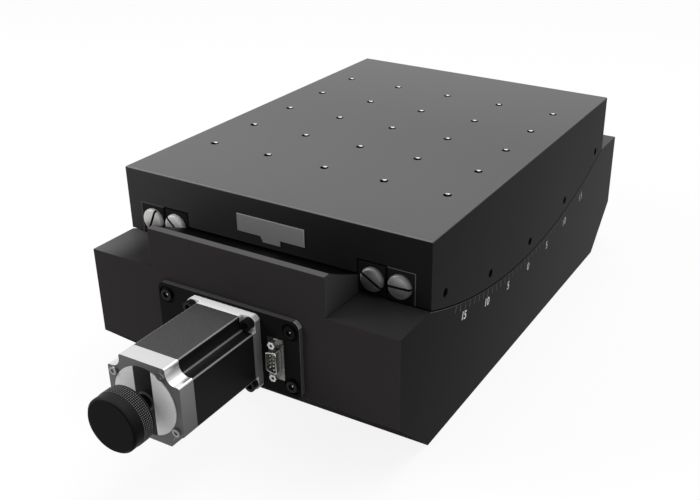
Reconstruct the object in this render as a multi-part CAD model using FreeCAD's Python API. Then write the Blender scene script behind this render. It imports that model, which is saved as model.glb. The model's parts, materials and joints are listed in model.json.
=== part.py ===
import FreeCAD
import Part
import math
import os

V = FreeCAD.Vector
X_AXIS = V(1, 0, 0)
Y_AXIS = V(0, 1, 0)
Z_AXIS = V(0, 0, 1)

# Overall sizes, in millimetres. X is along the tilt axis, Y runs front to back
# and the origin is the centre of the underside. Minus Y is the motor's side.
BLOCK_WIDTH = 250.0
TABLE_LENGTH = 340.0
BASE_LENGTH = 420.0
TABLE_TOP = 155.0
TABLE_DEPTH = 70.0
TILT_LIMIT = 15.0

# The rollers run on an arc of this radius about the tilt axis, and the other
# radii are set off from it. The table's belly is its underside in the middle.
GUIDE_RADIUS = 439.5
RAIL_HEIGHT = 21.0
BELLY_ABOVE_GUIDE = 1.5
BELLY_GAP = 1.0
SKIRT_GAP = 1.0
ROOF_GAP = 1.0

# Base block.
RIB_END_STRIP = 5.6
CHAMFER_LENGTH = 40.0
ROOM_WIDTH = 88.0
ROOM_NECK = 56.0
ROOM_SHOULDER_BELOW_DRIVE = 23.0
ROOM_TOP_ABOVE_DRIVE = 14.0
ROOM_FRONT_WALL = 52.0
ROOM_BEHIND_BEARINGS = 25.0
TUNNEL_CLEARANCE = 1.0
WIRE_POCKET_DEPTH = 25.0
WIRE_POCKET_DROP = 18.0
WIRE_POCKET_LIP = 7.0
WIRE_POCKET_MARGIN = 2.5
WIRE_BORE_RADIUS = 5.0
COVER_THICKNESS = 5.0
COVER_RECESS = 6.0
COVER_LEDGE = 9.0
COVER_SCREW_LENGTH = 13.0
COVER_SINK = 3.0
BASE_HOLE_INSET_X = 25.0
BASE_HOLE_INSET_Y = 60.0
BASE_HOLE_RADIUS = 3.4
BASE_HOLE_DEPTH = 16.0

# Table block.
SKIRT_WIDTH = 12.0
GRID_PITCH = 50.0
GRID_COUNT = 5
GRID_HOLE_RADIUS = 2.5
GRID_HOLE_DEPTH = 20.0
GRID_SINK_RADIUS = 3.2
EDGE_BREAK = 0.6

# Crossed roller guides.
RAIL_WIDTH = 20.0
RAIL_GAP = 2.0
RAIL_SIDE_GAP = 1.0
ROLLER_DIAMETER = 6.0
ROLLER_CLEARANCE = 0.06
ROLLER_COUNT = 14
CAGE_END_MARGIN = 0.75
CAGE_THICKNESS = 1.2
CAGE_HEIGHT = 12.5
WINDOW_CLEARANCE = 0.2
RAIL_SCREW_INSET = 20.0
RAIL_SCREW_COUNT = 5

# Screws, as shank radius, head radius and head height.
M3_RADIUS = 1.5
M3_HEAD_RADIUS = 2.75
M3_HEAD_HEIGHT = 3.0
M4_RADIUS = 2.0
M4_HEAD_RADIUS = 3.5
M4_HEAD_HEIGHT = 4.0
M5_RADIUS = 2.5
M5_HEAD_RADIUS = 4.25
M5_HEAD_HEIGHT = 5.0
M5_LOW_HEAD_HEIGHT = 2.8
M3_PAN_HEAD_HEIGHT = 1.6
STOP_SHANK_RADIUS = 3.0
HEAD_CLEARANCE = 0.5
THREAD_CLEARANCE = 0.05
SEAT_CLEARANCE = 0.02
DRILL_ROOM = 1.0
HEAD_SUNK = 2.0
OUTER_SCREW_LENGTH = 16.0
INNER_SCREW_LENGTH = 26.0
INNER_SCREW_INSET = 8.0
STOP_DISC_RADIUS = 9.5
STOP_DISC_HEIGHT = 1.2
STOP_SLOT_WIDTH = 2.0
STOP_SLOT_DEPTH = 0.8
STOP_SHANK_LENGTH = 12.0
INNER_STOP_INSET = 11.0
OUTER_STOP_INSET = 9.5
STOP_TURNS = {"inner_right": -42.0, "outer_right": 6.0, "outer_left": 72.0, "inner_left": -40.0}

# Worm and arc rack.
MODULE = 2.0
WORM_PITCH_RADIUS = 20.0
PRESSURE_ANGLE = 20.0
FLANK_CLEARANCE = 0.25
ROOT_CLEARANCE = 0.4
RACK_FACE_WIDTH = 20.0
RACK_FLANGE_WIDTH = 44.0
RACK_FLANGE_HEIGHT = 6.0
RACK_HEIGHT = 14.0
RACK_SCREW_OFFSET = 16.0
RACK_SCREW_END_ANGLE = 5.0
RACK_SCREW_BITE = 8.0
CHANNEL_CLEARANCE = 0.2
CHANNEL_END_ANGLE = 1.0
WORM_TURNS = 8
WORM_THREAD_SUNK = 0.5
WORM_COLLAR = 1.0
DRIVE_X = -6.5
WORM_SHAFT_RADIUS = 6.0
WORM_ROOM_CLEARANCE = 2.5
BEARING_OUTER_RADIUS = 12.0
BEARING_RACE_RADIUS = 8.0
BEARING_WIDTH = 6.0
BEARING_SHOULDER = 4.0
BEARING_BLOCK_Y = 42.0
BEARING_BLOCK_DEPTH = 16.0
BEARING_EAR_HEIGHT = 14.0
BEARING_SCREW_INSET = 8.0
BEARING_SCREW_BITE = 12.0
BEARING_BLOCK_GAP = 1.0
BEARING_PASS = 2.0
RUN_CLEARANCE = 0.05
COUPLING_RADIUS = 15.0
COUPLING_HUB = 13.0
COUPLING_JAW = 9.0
COUPLING_INSIDE_FRONT = 10.0
COUPLING_JAWS = 3
JAW_INNER_RADIUS = 8.0
SPIDER_BORE = 4.0
SPIDER_GAP = 0.5
SHAFT_END_GAP = 1.0
LOCK_NUT_RADIUS = 11.0
LOCK_NUT_HEIGHT = 7.0
LOCK_NUT_SLOTS = 4
LOCK_NUT_SLOT_WIDTH = 3.0
LOCK_NUT_SLOT_DEPTH = 2.0
LOCK_NUT_REST = 2.0

# Motor, with a 56.4 mm square flange.
MOTOR_SIDE = 56.4
MOTOR_HOLE_INSET = 4.63
MOTOR_FLANGE = 8.0
MOTOR_FLANGE_STEP = 3.2
MOTOR_BODY = 59.0
MOTOR_CAP = 12.5
MOTOR_PILOT_RADIUS = 19.05
MOTOR_PILOT_HEIGHT = 1.6
MOTOR_SHAFT_RADIUS = 3.175
MOTOR_SHAFT_REACH = 21.0
MOTOR_CORNER = 4.0
MOTOR_SCALLOP_RADIUS = 7.0
MOTOR_SCALLOP_INSET = 3.2
MOTOR_LIP = 1.6
ROTOR_RADIUS = 16.0
ROTOR_GAP = 0.3
ROTOR_INSET = 4.0
TIE_INSET = 5.2
TIE_SHIFT = 15.0
LABEL_INSET = 4.2
LABEL_HOLE = 7.0
LABEL_THICKNESS = 0.5
KNOB_RADIUS = 19.0
KNOB_HUB_RADIUS = 5.5
KNOB_HUB = 12.0
KNOB_GRIP = 17.0
KNOB_BREAK = 1.5
KNOB_GAP = 1.0
KNOB_SCREW_SUNK = 0.3
KNOB_SOCKET_DEPTH = 1.0

# Motor plate and connector.
PLATE_THICKNESS = 3.0
PLATE_LEFT = -64.0
PLATE_RIGHT = 53.0
PLATE_BELOW_MOTOR = 0.3
PLATE_ABOVE_MOTOR = 2.8
PLATE_CORNER = 6.0
PLATE_SCREW_MARGIN_X = 7.5
PLATE_SCREW_MARGIN_Z = 9.0
PLATE_SCREW_BITE = 10.0
PLATE_RECESS_RADIUS = 6.5
PLATE_RECESS_DEPTH = 1.2
CONNECTOR_INSET = 19.0
CONNECTOR_BELOW_DRIVE = 1.0
CONNECTOR_WIDTH = 12.5
CONNECTOR_HEIGHT = 31.0
CONNECTOR_FLANGE = 1.0
SHELL_HALF_HEIGHT = 8.4
SHELL_HALF_WIDTH = 4.2
SHELL_TAPER = 0.8
SHELL_WALL = 0.5
SHELL_REACH = 6.0
SHELL_CORNER = 1.5
SHELL_HOLE_CLEARANCE = 0.6
PIN_RADIUS = 0.5
PIN_PITCH = 2.77
PIN_ROW = 1.42
PIN_REACH = 5.0
JACK_OFFSET = 12.5
JACK_ACROSS = 5.0
JACK_HEIGHT = 5.0
JACK_BORE_RADIUS = 1.2
JACK_BORE_DEPTH = 4.0
INSULATOR_DEPTH = 9.0

# Limit sensors on the rib and the magnet that they read in the table.
SENSOR_X = 46.0
SENSOR_WIDTH = 12.0
SENSOR_LENGTH = 22.0
SENSOR_HEIGHT = 9.0
SENSOR_SUNK = 0.5
SENSOR_CLEARANCE = 0.1
MAGNET_RADIUS = 3.0
MAGNET_HEIGHT = 3.8
MAGNET_SUNK = 0.2

# Blank nameplate on the table's front face.
NAMEPLATE_LEFT = -26.0
NAMEPLATE_RIGHT = 29.5
NAMEPLATE_ABOVE_BELLY = 21.2
NAMEPLATE_HEIGHT = 13.0
NAMEPLATE_TAB_LEFT = -4.7
NAMEPLATE_TAB_RIGHT = 9.7
NAMEPLATE_TAB_DROP = 4.2
NAMEPLATE_TAB_SLANT = 2.0
NAMEPLATE_THICKNESS = 0.6

# Cuts run past the faces that they open by this much.
OVERSHOOT = 1.0

# Values worked out from the sizes above.
TABLE_BELLY_RADIUS = GUIDE_RADIUS - BELLY_ABOVE_GUIDE
RAIL_TOP_RADIUS = GUIDE_RADIUS - RAIL_HEIGHT / 2
SKIRT_RADIUS = GUIDE_RADIUS + RAIL_HEIGHT / 2
SEAT_RADIUS = SKIRT_RADIUS + SKIRT_GAP
RIB_RADIUS = TABLE_BELLY_RADIUS + BELLY_GAP
AXIS_Z = TABLE_TOP - TABLE_DEPTH + TABLE_BELLY_RADIUS
TILT_CENTRE = V(0, 0, AXIS_Z)
TABLE_END = TABLE_LENGTH / 2
BASE_END = BASE_LENGTH / 2
BLOCK_SIDE = BLOCK_WIDTH / 2


def arc_height(radius, y):
    """Height of the arc of this radius about the tilt axis, at a given Y."""
    return AXIS_Z - math.sqrt(radius * radius - y * y)


def arc_angle(radius, y):
    """How far round the tilt axis the arc of this radius is when it reaches a given Y."""
    return math.degrees(math.asin(y / radius))


OUTER_RAIL_END = BLOCK_SIDE - SKIRT_WIDTH
OUTER_RAIL_START = OUTER_RAIL_END - RAIL_WIDTH
INNER_RAIL_END = OUTER_RAIL_START - RAIL_GAP
INNER_RAIL_START = INNER_RAIL_END - RAIL_WIDTH
INNER_STOP_X = INNER_RAIL_START + INNER_STOP_INSET
OUTER_STOP_X = OUTER_RAIL_START + OUTER_STOP_INSET
GUIDE_X = (INNER_RAIL_END + OUTER_RAIL_START) / 2
RIB_SIDE = INNER_RAIL_START
BELLY_SIDE = RIB_SIDE - RAIL_SIDE_GAP
WING_TOP = arc_height(SEAT_RADIUS, TABLE_END)
RIB_TOP = arc_height(RIB_RADIUS, BASE_END - RIB_END_STRIP)
RAIL_HALF_ANGLE = arc_angle(RAIL_TOP_RADIUS, TABLE_END) + OVERSHOOT
RAIL_SCREW_LAST = arc_angle(GUIDE_RADIUS, TABLE_END - RAIL_SCREW_INSET)
CAGE_HALF_ANGLE = arc_angle(GUIDE_RADIUS, TABLE_END) - TILT_LIMIT / 2 - CAGE_END_MARGIN
RACK_PITCH_RADIUS = TABLE_BELLY_RADIUS - MODULE
RACK_TIP_RADIUS = RACK_PITCH_RADIUS + MODULE
RACK_SEAT_RADIUS = RACK_TIP_RADIUS - RACK_HEIGHT
LEAD = math.pi * MODULE
LEAD_SLOPE = LEAD / (2 * math.pi * WORM_PITCH_RADIUS)
TOOTH_ANGLE = math.degrees(LEAD / RACK_PITCH_RADIUS)
WORM_LENGTH = WORM_TURNS * LEAD
WORM_TIP_RADIUS = WORM_PITCH_RADIUS + MODULE
WORM_ROOT_RADIUS = WORM_PITCH_RADIUS - MODULE - ROOT_CLEARANCE
WORM_CORE_END = WORM_LENGTH / 2 + LEAD / 2
RACK_TEETH_HALF = math.ceil(TILT_LIMIT / TOOTH_ANGLE + (WORM_TURNS - 1) / 2)
RACK_HALF_ANGLE = TOOTH_ANGLE * (RACK_TEETH_HALF + 1)
RACK_SCREW_ANGLE = RACK_HALF_ANGLE - RACK_SCREW_END_ANGLE
DRIVE_Z = AXIS_Z - RACK_PITCH_RADIUS - WORM_PITCH_RADIUS
MOTOR_HALF = MOTOR_SIDE / 2
MOTOR_HOLE_OFFSET = MOTOR_HALF - MOTOR_HOLE_INSET
MOTOR_SCALLOP_OFFSET = MOTOR_HALF - MOTOR_SCALLOP_INSET
PLATE_BOTTOM = DRIVE_Z - MOTOR_HALF - PLATE_BELOW_MOTOR
PLATE_TOP = DRIVE_Z + MOTOR_HALF + PLATE_ABOVE_MOTOR
CHAMFER_HEIGHT = PLATE_BOTTOM
PLATE_FRONT = -BASE_END - PLATE_THICKNESS
FLANGE_FRONT = PLATE_FRONT - MOTOR_FLANGE
FLANGE_SEAT = FLANGE_FRONT + MOTOR_FLANGE_STEP
BODY_FRONT = FLANGE_FRONT - MOTOR_BODY
CAP_FRONT = BODY_FRONT - MOTOR_CAP
CONNECTOR_X = PLATE_RIGHT - CONNECTOR_INSET
CONNECTOR_Z = DRIVE_Z - CONNECTOR_BELOW_DRIVE
CONNECTOR_FACE = PLATE_FRONT - CONNECTOR_FLANGE
BEARING_INNER_FACE = BEARING_BLOCK_Y - BEARING_BLOCK_DEPTH / 2 + BEARING_SHOULDER
ROOM_LEFT = DRIVE_X - ROOM_WIDTH / 2
ROOM_RIGHT = DRIVE_X + ROOM_WIDTH / 2
ROOM_START = -BASE_END + ROOM_FRONT_WALL
ROOM_END = BEARING_BLOCK_Y + BEARING_BLOCK_DEPTH / 2 + ROOM_BEHIND_BEARINGS
ROOM_SHOULDER = DRIVE_Z - ROOM_SHOULDER_BELOW_DRIVE
ROOM_TOP = DRIVE_Z + ROOM_TOP_ABOVE_DRIVE
NECK_LEFT = DRIVE_X - ROOM_NECK / 2
NECK_RIGHT = DRIVE_X + ROOM_NECK / 2
COUPLING_FRONT = -BASE_END + COUPLING_INSIDE_FRONT
NAMEPLATE_TOP = arc_height(TABLE_BELLY_RADIUS, TABLE_END) + NAMEPLATE_ABOVE_BELLY
M3 = (M3_RADIUS, M3_HEAD_RADIUS, M3_HEAD_HEIGHT)
M3_PAN = (M3_RADIUS, M3_HEAD_RADIUS, M3_PAN_HEAD_HEIGHT)
M4 = (M4_RADIUS, M4_HEAD_RADIUS, M4_HEAD_HEIGHT)
M5 = (M5_RADIUS, M5_HEAD_RADIUS, M5_HEAD_HEIGHT)
M5_LOW = (M5_RADIUS, M5_HEAD_RADIUS, M5_LOW_HEAD_HEIGHT)


def box(x0, x1, y0, y1, z0, z1):
    return Part.makeBox(x1 - x0, y1 - y0, z1 - z0, V(x0, y0, z0))


def rod(radius, start, direction, length):
    return Part.makeCylinder(radius, length, start, direction)


def fused(shapes):
    whole = shapes[0]
    if len(shapes) > 1:
        whole = whole.multiFuse(shapes[1:])
    return whole.removeSplitter()


def turned(shape, degrees):
    """A copy turned about the tilt axis. A positive angle moves it towards plus Y."""
    copy = shape.copy()
    copy.rotate(TILT_CENTRE, X_AXIS, degrees)
    return copy


def radial_point(x, radius, degrees):
    angle = math.radians(degrees)
    return V(x, radius * math.sin(angle), AXIS_Z - radius * math.cos(angle))


def radial_outward(degrees):
    angle = math.radians(degrees)
    return V(0, math.sin(angle), -math.cos(angle))


def swept_section(points, half_angle):
    """A section of (X, radius) points swept about the tilt axis to both sides of the middle."""
    wire = Part.makePolygon([V(x, 0, AXIS_Z - r) for x, r in points + points[:1]])
    start = turned(Part.Face(wire), -half_angle)
    return start.revolve(TILT_CENTRE, X_AXIS, 2 * half_angle)


def side_prism(points, x0, x1):
    """A flat outline of (Y, Z) points, extruded along X."""
    wire = Part.makePolygon([V(x0, y, z) for y, z in points + points[:1]])
    return Part.Face(wire).extrude(V(x1 - x0, 0, 0))


def front_prism(points, y0, y1):
    """A flat outline of (X, Z) points, extruded along Y."""
    wire = Part.makePolygon([V(x, y0, z) for x, z in points + points[:1]])
    return Part.Face(wire).extrude(V(0, y1 - y0, 0))


def arc_slab(x0, x1, radius):
    """A slice of the table: flat top, flat ends and an arc underside of the given radius."""
    low = arc_height(radius, TABLE_END)
    corners = [V(x0, TABLE_END, low), V(x0, TABLE_END, TABLE_TOP), V(x0, -TABLE_END, TABLE_TOP)]
    corners.append(V(x0, -TABLE_END, low))
    edges = [Part.LineSegment(a, b).toShape() for a, b in zip(corners, corners[1:])]
    belly = Part.Arc(corners[3], V(x0, 0, AXIS_Z - radius), corners[0])
    edges.append(belly.toShape())
    return Part.Face(Part.Wire(edges)).extrude(V(x1 - x0, 0, 0))


def hex_prism(centre, direction, across, depth):
    """A hexagonal prism of the given width across its flats."""
    radius = across / math.sqrt(3)
    points = []
    for k in range(7):
        angle = math.radians(60 * k)
        points.append(V(radius * math.cos(angle), radius * math.sin(angle), 0))
    prism = Part.Face(Part.makePolygon(points)).extrude(V(0, 0, depth))
    prism.Placement = FreeCAD.Placement(centre, FreeCAD.Rotation(Z_AXIS, direction))
    return prism


def headed_screw(size, seat, direction, length):
    """A plain screw whose head sits at the seat. The shank points along the direction."""
    shank_radius, head_radius, head_height = size
    head = rod(head_radius, seat - direction * head_height, direction, head_height)
    return head.fuse(rod(shank_radius, seat, direction, length))


def cap_screw(size, seat, direction, length):
    """The same screw where its head can be seen, with a hexagon socket half as deep as the head."""
    _, head_radius, head_height = size
    socket = hex_prism(seat - direction * head_height, direction, head_radius, head_height / 2)
    return headed_screw(size, seat, direction, length).cut(socket)


def thread_hole(radius, seat, direction, length):
    """The blind hole of a screw of this length, with a little room at its end."""
    return rod(radius + THREAD_CLEARANCE, seat, direction, length + DRILL_ROOM)


def through_hole(radius, start, thickness):
    """A hole for a screw through a plate that faces the motor's side."""
    return rod(radius + THREAD_CLEARANCE, start, Y_AXIS, thickness)


def screw_hole(size, seat, direction, length, sink):
    """The hole of a screw with a counterbore that runs from the seat past the face above it."""
    shank_radius, head_radius, _ = size
    wide = rod(head_radius + HEAD_CLEARANCE, seat, direction * -1, sink + OVERSHOOT)
    return wide.fuse(thread_hole(shank_radius, seat, direction, length))


def rail_screw_angles():
    step = 2 * RAIL_SCREW_LAST / (RAIL_SCREW_COUNT - 1)
    return [k * step - RAIL_SCREW_LAST for k in range(RAIL_SCREW_COUNT)]


def outer_screw_places(side):
    """Seat points and direction of the screws that hold an outer rail through the skirt."""
    seat_x = BLOCK_SIDE - HEAD_SUNK - M3_HEAD_HEIGHT
    return [(radial_point(side * seat_x, GUIDE_RADIUS, a), V(-side, 0, 0)) for a in rail_screw_angles()]


def inner_screw_places(side):
    """Seat points and directions of the radial screws that hold an inner rail on the base."""
    x = side * (INNER_RAIL_START + INNER_SCREW_INSET)
    seat = RAIL_TOP_RADIUS + HEAD_SUNK + M5_HEAD_HEIGHT
    return [(radial_point(x, seat, a), radial_outward(a)) for a in rail_screw_angles()]


def stop_places(x):
    """Centres and inward directions of the stop screws on the rail ends at this X."""
    z = (arc_height(RAIL_TOP_RADIUS, TABLE_END) + arc_height(SKIRT_RADIUS, TABLE_END)) / 2
    return [(V(x, end * TABLE_END, z), V(0, -end, 0)) for end in (-1, 1)]


def base_outline(top):
    """Side outline of the base up to the given height, with the long chamfers at both ends."""
    foot = BASE_END - CHAMFER_LENGTH
    right = [(foot, 0), (BASE_END, CHAMFER_HEIGHT), (BASE_END, top)]
    left = [(-y, z) for y, z in reversed(right)]
    return right + left


def base_hole_points():
    x = BLOCK_SIDE - BASE_HOLE_INSET_X
    y = BASE_END - BASE_HOLE_INSET_Y
    return [V(sx * x, sy * y, 0) for sx in (-1, 1) for sy in (-1, 1)]


def plate_screw_points():
    xs = (PLATE_LEFT + PLATE_SCREW_MARGIN_X, PLATE_RIGHT - PLATE_SCREW_MARGIN_X)
    zs = (PLATE_BOTTOM + PLATE_SCREW_MARGIN_Z, PLATE_TOP - PLATE_SCREW_MARGIN_Z)
    return [V(x, PLATE_FRONT + PLATE_RECESS_DEPTH, z) for x in xs for z in zs]


def motor_hole_points(y):
    d = MOTOR_HOLE_OFFSET
    return [V(DRIVE_X + sx * d, y, DRIVE_Z + sz * d) for sx in (-1, 1) for sz in (-1, 1)]


def cover_screw_points():
    xs = (ROOM_LEFT - COVER_LEDGE / 2, ROOM_RIGHT + COVER_LEDGE / 2)
    front = ROOM_START - COVER_LEDGE / 2
    back = ROOM_END + COVER_LEDGE / 2
    return [V(x, y, 0) for x in xs for y in (front, (front + back) / 2, back)]


def bearing_screw_places():
    """The screws that hold the ears of both bearing blocks up against the shoulders of the room."""
    z = ROOM_SHOULDER - BEARING_EAR_HEIGHT + M5_HEAD_HEIGHT
    x = ROOM_WIDTH / 2 - BEARING_SCREW_INSET
    ys = (-BEARING_BLOCK_Y, BEARING_BLOCK_Y)
    return [(V(DRIVE_X + sx * x, y, z), Z_AXIS) for sx in (-1, 1) for y in ys]


def bearing_screw_length():
    return BEARING_EAR_HEIGHT - M5_HEAD_HEIGHT + BEARING_SCREW_BITE


def sensor_pocket(side, clearance):
    """The space of a limit sensor, sunk in the top of the rib where the magnet stops."""
    half_x = SENSOR_WIDTH / 2 + clearance
    half_angle = math.degrees((SENSOR_LENGTH / 2 + clearance) / RIB_RADIUS)
    top = RIB_RADIUS + (SENSOR_SUNK if clearance == 0 else -OVERSHOOT)
    low = RIB_RADIUS + SENSOR_SUNK + SENSOR_HEIGHT
    corners = [(SENSOR_X - half_x, top), (SENSOR_X + half_x, top), (SENSOR_X + half_x, low)]
    corners.append((SENSOR_X - half_x, low))
    return turned(swept_section(corners, half_angle), side * TILT_LIMIT)


def base_block():
    seat = rod(SEAT_RADIUS, V(-BLOCK_SIDE, 0, AXIS_Z), X_AXIS, BLOCK_WIDTH)
    wings = side_prism(base_outline(WING_TOP), -BLOCK_SIDE, BLOCK_SIDE).cut(seat)
    ledge_seat = rod(SKIRT_RADIUS, V(-GUIDE_X, 0, AXIS_Z), X_AXIS, 2 * GUIDE_X)
    ledges = side_prism(base_outline(WING_TOP), -GUIDE_X, GUIDE_X).cut(ledge_seat)
    rib_seat = rod(RIB_RADIUS, V(-RIB_SIDE, 0, AXIS_Z), X_AXIS, 2 * RIB_SIDE)
    rib = side_prism(base_outline(RIB_TOP), -RIB_SIDE, RIB_SIDE).cut(rib_seat)
    block = fused([wings, ledges, rib])
    cuts = drive_room() + wire_way()
    cuts.append(cover_space(0, COVER_RECESS))
    for point in base_hole_points():
        cuts.append(rod(BASE_HOLE_RADIUS, point, Z_AXIS, BASE_HOLE_DEPTH))
    for point in plate_screw_points() + motor_hole_points(-BASE_END):
        start = V(point.x, -BASE_END, point.z)
        cuts.append(thread_hole(M5_RADIUS, start, Y_AXIS, PLATE_SCREW_BITE))
    for point in cover_screw_points():
        cuts.append(thread_hole(M4_RADIUS, point, Z_AXIS, COVER_SCREW_LENGTH))
    for seat_point, way in bearing_screw_places():
        cuts.append(thread_hole(M5_RADIUS, seat_point, way, bearing_screw_length()))
    for side in (-1, 1):
        for seat_point, way in inner_screw_places(side):
            cuts.append(thread_hole(M5_RADIUS, seat_point, way, INNER_SCREW_LENGTH))
        cuts.append(sensor_pocket(side, SENSOR_CLEARANCE))
    return block.cut(cuts)


def drive_room():
    """The room of the worm drive: wide below, narrow above, open to the motor and to the rack."""
    wide = box(ROOM_LEFT, ROOM_RIGHT, ROOM_START, ROOM_END, COVER_RECESS, ROOM_SHOULDER)
    neck = box(NECK_LEFT, NECK_RIGHT, ROOM_START, ROOM_END, COVER_RECESS, ROOM_TOP)
    throat = WORM_TIP_RADIUS + WORM_ROOM_CLEARANCE
    reach = WORM_CORE_END + WORM_ROOM_CLEARANCE
    mouth = box(DRIVE_X - throat, DRIVE_X + throat, -reach, reach, DRIVE_Z, RIB_TOP)
    start = V(DRIVE_X, -BASE_END, DRIVE_Z)
    tunnel = rod(MOTOR_PILOT_RADIUS + TUNNEL_CLEARANCE, start, Y_AXIS, ROOM_FRONT_WALL)
    return [wide, neck, mouth, tunnel]


def wire_way():
    """The pocket behind the connector and the bore from it to the drive room."""
    left = CONNECTOR_X - SHELL_HALF_WIDTH - WIRE_POCKET_MARGIN
    right = CONNECTOR_X + SHELL_HALF_WIDTH + WIRE_POCKET_MARGIN
    half_z = SHELL_HALF_HEIGHT + WIRE_POCKET_MARGIN
    back = -BASE_END + WIRE_POCKET_DEPTH
    low = CONNECTOR_Z - half_z - WIRE_POCKET_DROP
    pocket = box(left, right, -BASE_END, back, CONNECTOR_Z - half_z, CONNECTOR_Z + half_z)
    drop = box(left, right, -BASE_END + WIRE_POCKET_LIP, back, low, CONNECTOR_Z)
    start = V(ROOM_RIGHT - WIRE_BORE_RADIUS, back - OVERSHOOT, ROOM_SHOULDER - WIRE_BORE_RADIUS)
    bore = rod(WIRE_BORE_RADIUS, start, Y_AXIS, ROOM_START - back + 2 * OVERSHOOT)
    return [pocket, drop, bore]


def cover_space(z0, z1):
    front = ROOM_START - COVER_LEDGE
    back = ROOM_END + COVER_LEDGE
    return box(ROOM_LEFT - COVER_LEDGE, ROOM_RIGHT + COVER_LEDGE, front, back, z0, z1)


def cover_screw_starts():
    """Centres of the flat heads, level with the face of the cover."""
    return [point + Z_AXIS * (COVER_RECESS - COVER_THICKNESS) for point in cover_screw_points()]


def bottom_cover():
    plate = cover_space(COVER_RECESS - COVER_THICKNESS, COVER_RECESS)
    holes = []
    for start in cover_screw_starts():
        wide = M4_HEAD_RADIUS + HEAD_CLEARANCE
        holes.append(Part.makeCone(wide, M4_RADIUS + THREAD_CLEARANCE, COVER_SINK, start, Z_AXIS))
        holes.append(rod(M4_RADIUS + THREAD_CLEARANCE, start, Z_AXIS, COVER_THICKNESS))
    return plate.cut(holes)


def cover_screws():
    screws = []
    for start in cover_screw_starts():
        wide = M4_HEAD_RADIUS + HEAD_CLEARANCE - THREAD_CLEARANCE
        head = Part.makeCone(wide, M4_RADIUS, COVER_SINK, start, Z_AXIS)
        shank_length = COVER_SCREW_LENGTH - COVER_RECESS + COVER_THICKNESS
        screws.append(head.fuse(rod(M4_RADIUS, start, Z_AXIS, shank_length)).removeSplitter())
    return Part.makeCompound(screws)


def groove_section(face_x, side):
    """The V groove of a raceway, as (X, radius) points. The side says which way it cuts."""
    depth = ROLLER_DIAMETER / math.sqrt(2) - RAIL_GAP / 2
    tip = face_x + side * depth
    return [(face_x, GUIDE_RADIUS - depth), (tip, GUIDE_RADIUS), (face_x, GUIDE_RADIUS + depth)]


def plain_rail(x0, x1, groove_x, groove_side):
    """One arc rail on the plus X side, cut off flat at the table's ends, with its raceway."""
    corners = [(x0, RAIL_TOP_RADIUS), (x1, RAIL_TOP_RADIUS), (x1, SKIRT_RADIUS), (x0, SKIRT_RADIUS)]
    rail = swept_section(corners, RAIL_HALF_ANGLE)
    low = AXIS_Z - SKIRT_RADIUS - OVERSHOOT
    rail = rail.common(box(x0, x1, -TABLE_END, TABLE_END, low, TABLE_TOP))
    return rail.cut(swept_section(groove_section(groove_x, groove_side), RAIL_HALF_ANGLE))


def mirrored(shape, side):
    if side > 0:
        return shape
    return shape.mirror(V(0, 0, 0), X_AXIS)


def inner_rail(side):
    rail = mirrored(plain_rail(INNER_RAIL_START, INNER_RAIL_END, INNER_RAIL_END, -1), side)
    sink = HEAD_SUNK + M5_HEAD_HEIGHT
    cuts = [screw_hole(M5, p, d, INNER_SCREW_LENGTH, sink) for p, d in inner_screw_places(side)]
    for point, way in stop_places(side * INNER_STOP_X):
        cuts.append(thread_hole(STOP_SHANK_RADIUS, point, way, STOP_SHANK_LENGTH))
    return rail.cut(cuts)


def outer_rail(side):
    rail = mirrored(plain_rail(OUTER_RAIL_START, OUTER_RAIL_END, OUTER_RAIL_START, 1), side)
    cuts = [thread_hole(M3_RADIUS, p, d, OUTER_SCREW_LENGTH) for p, d in outer_screw_places(side)]
    for point, way in stop_places(side * OUTER_STOP_X):
        cuts.append(thread_hole(STOP_SHANK_RADIUS, point, way, STOP_SHANK_LENGTH))
    return rail.cut(cuts)


def inner_rail_screws():
    places = inner_screw_places(-1) + inner_screw_places(1)
    return Part.makeCompound([headed_screw(M5, p, d, INNER_SCREW_LENGTH) for p, d in places])


def outer_rail_screws():
    places = outer_screw_places(-1) + outer_screw_places(1)
    return Part.makeCompound([cap_screw(M3, p, d, OUTER_SCREW_LENGTH) for p, d in places])


def stop_screw(point, way, turn):
    """A slotted stop screw with a wide flat head on a rail's end."""
    head = rod(STOP_DISC_RADIUS, point - way * STOP_DISC_HEIGHT, way, STOP_DISC_HEIGHT)
    slot = box(-STOP_DISC_RADIUS, STOP_DISC_RADIUS, -STOP_SLOT_DEPTH, STOP_SLOT_DEPTH,
               -STOP_SLOT_WIDTH / 2, STOP_SLOT_WIDTH / 2)
    slot.rotate(V(0, 0, 0), Y_AXIS, turn)
    slot.translate(point - way * STOP_DISC_HEIGHT)
    return head.cut(slot).fuse(rod(STOP_SHANK_RADIUS, point, way, STOP_SHANK_LENGTH))


def stop_screws(x, turn_right, turn_left):
    screws = []
    for side, turn in ((1, turn_right), (-1, turn_left)):
        for point, way in stop_places(side * x):
            screws.append(stop_screw(point, way, turn))
    return Part.makeCompound(screws)


def base_stop_screws():
    return stop_screws(INNER_STOP_X, STOP_TURNS["inner_right"], STOP_TURNS["inner_left"])


def table_stop_screws():
    return stop_screws(OUTER_STOP_X, STOP_TURNS["outer_right"], STOP_TURNS["outer_left"])


def grid_points():
    middle = (GRID_COUNT - 1) / 2
    steps = [(k - middle) * GRID_PITCH for k in range(GRID_COUNT)]
    return [V(x, y, TABLE_TOP) for x in steps for y in steps]


def rack_screw_places():
    seat = RACK_SEAT_RADIUS + RACK_FLANGE_HEIGHT
    places = []
    for angle in (-RACK_SCREW_ANGLE, 0.0, RACK_SCREW_ANGLE):
        for side in (-1, 1):
            place = radial_point(DRIVE_X + side * RACK_SCREW_OFFSET, seat, angle)
            places.append((place, radial_outward(angle) * -1))
    return places


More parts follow.
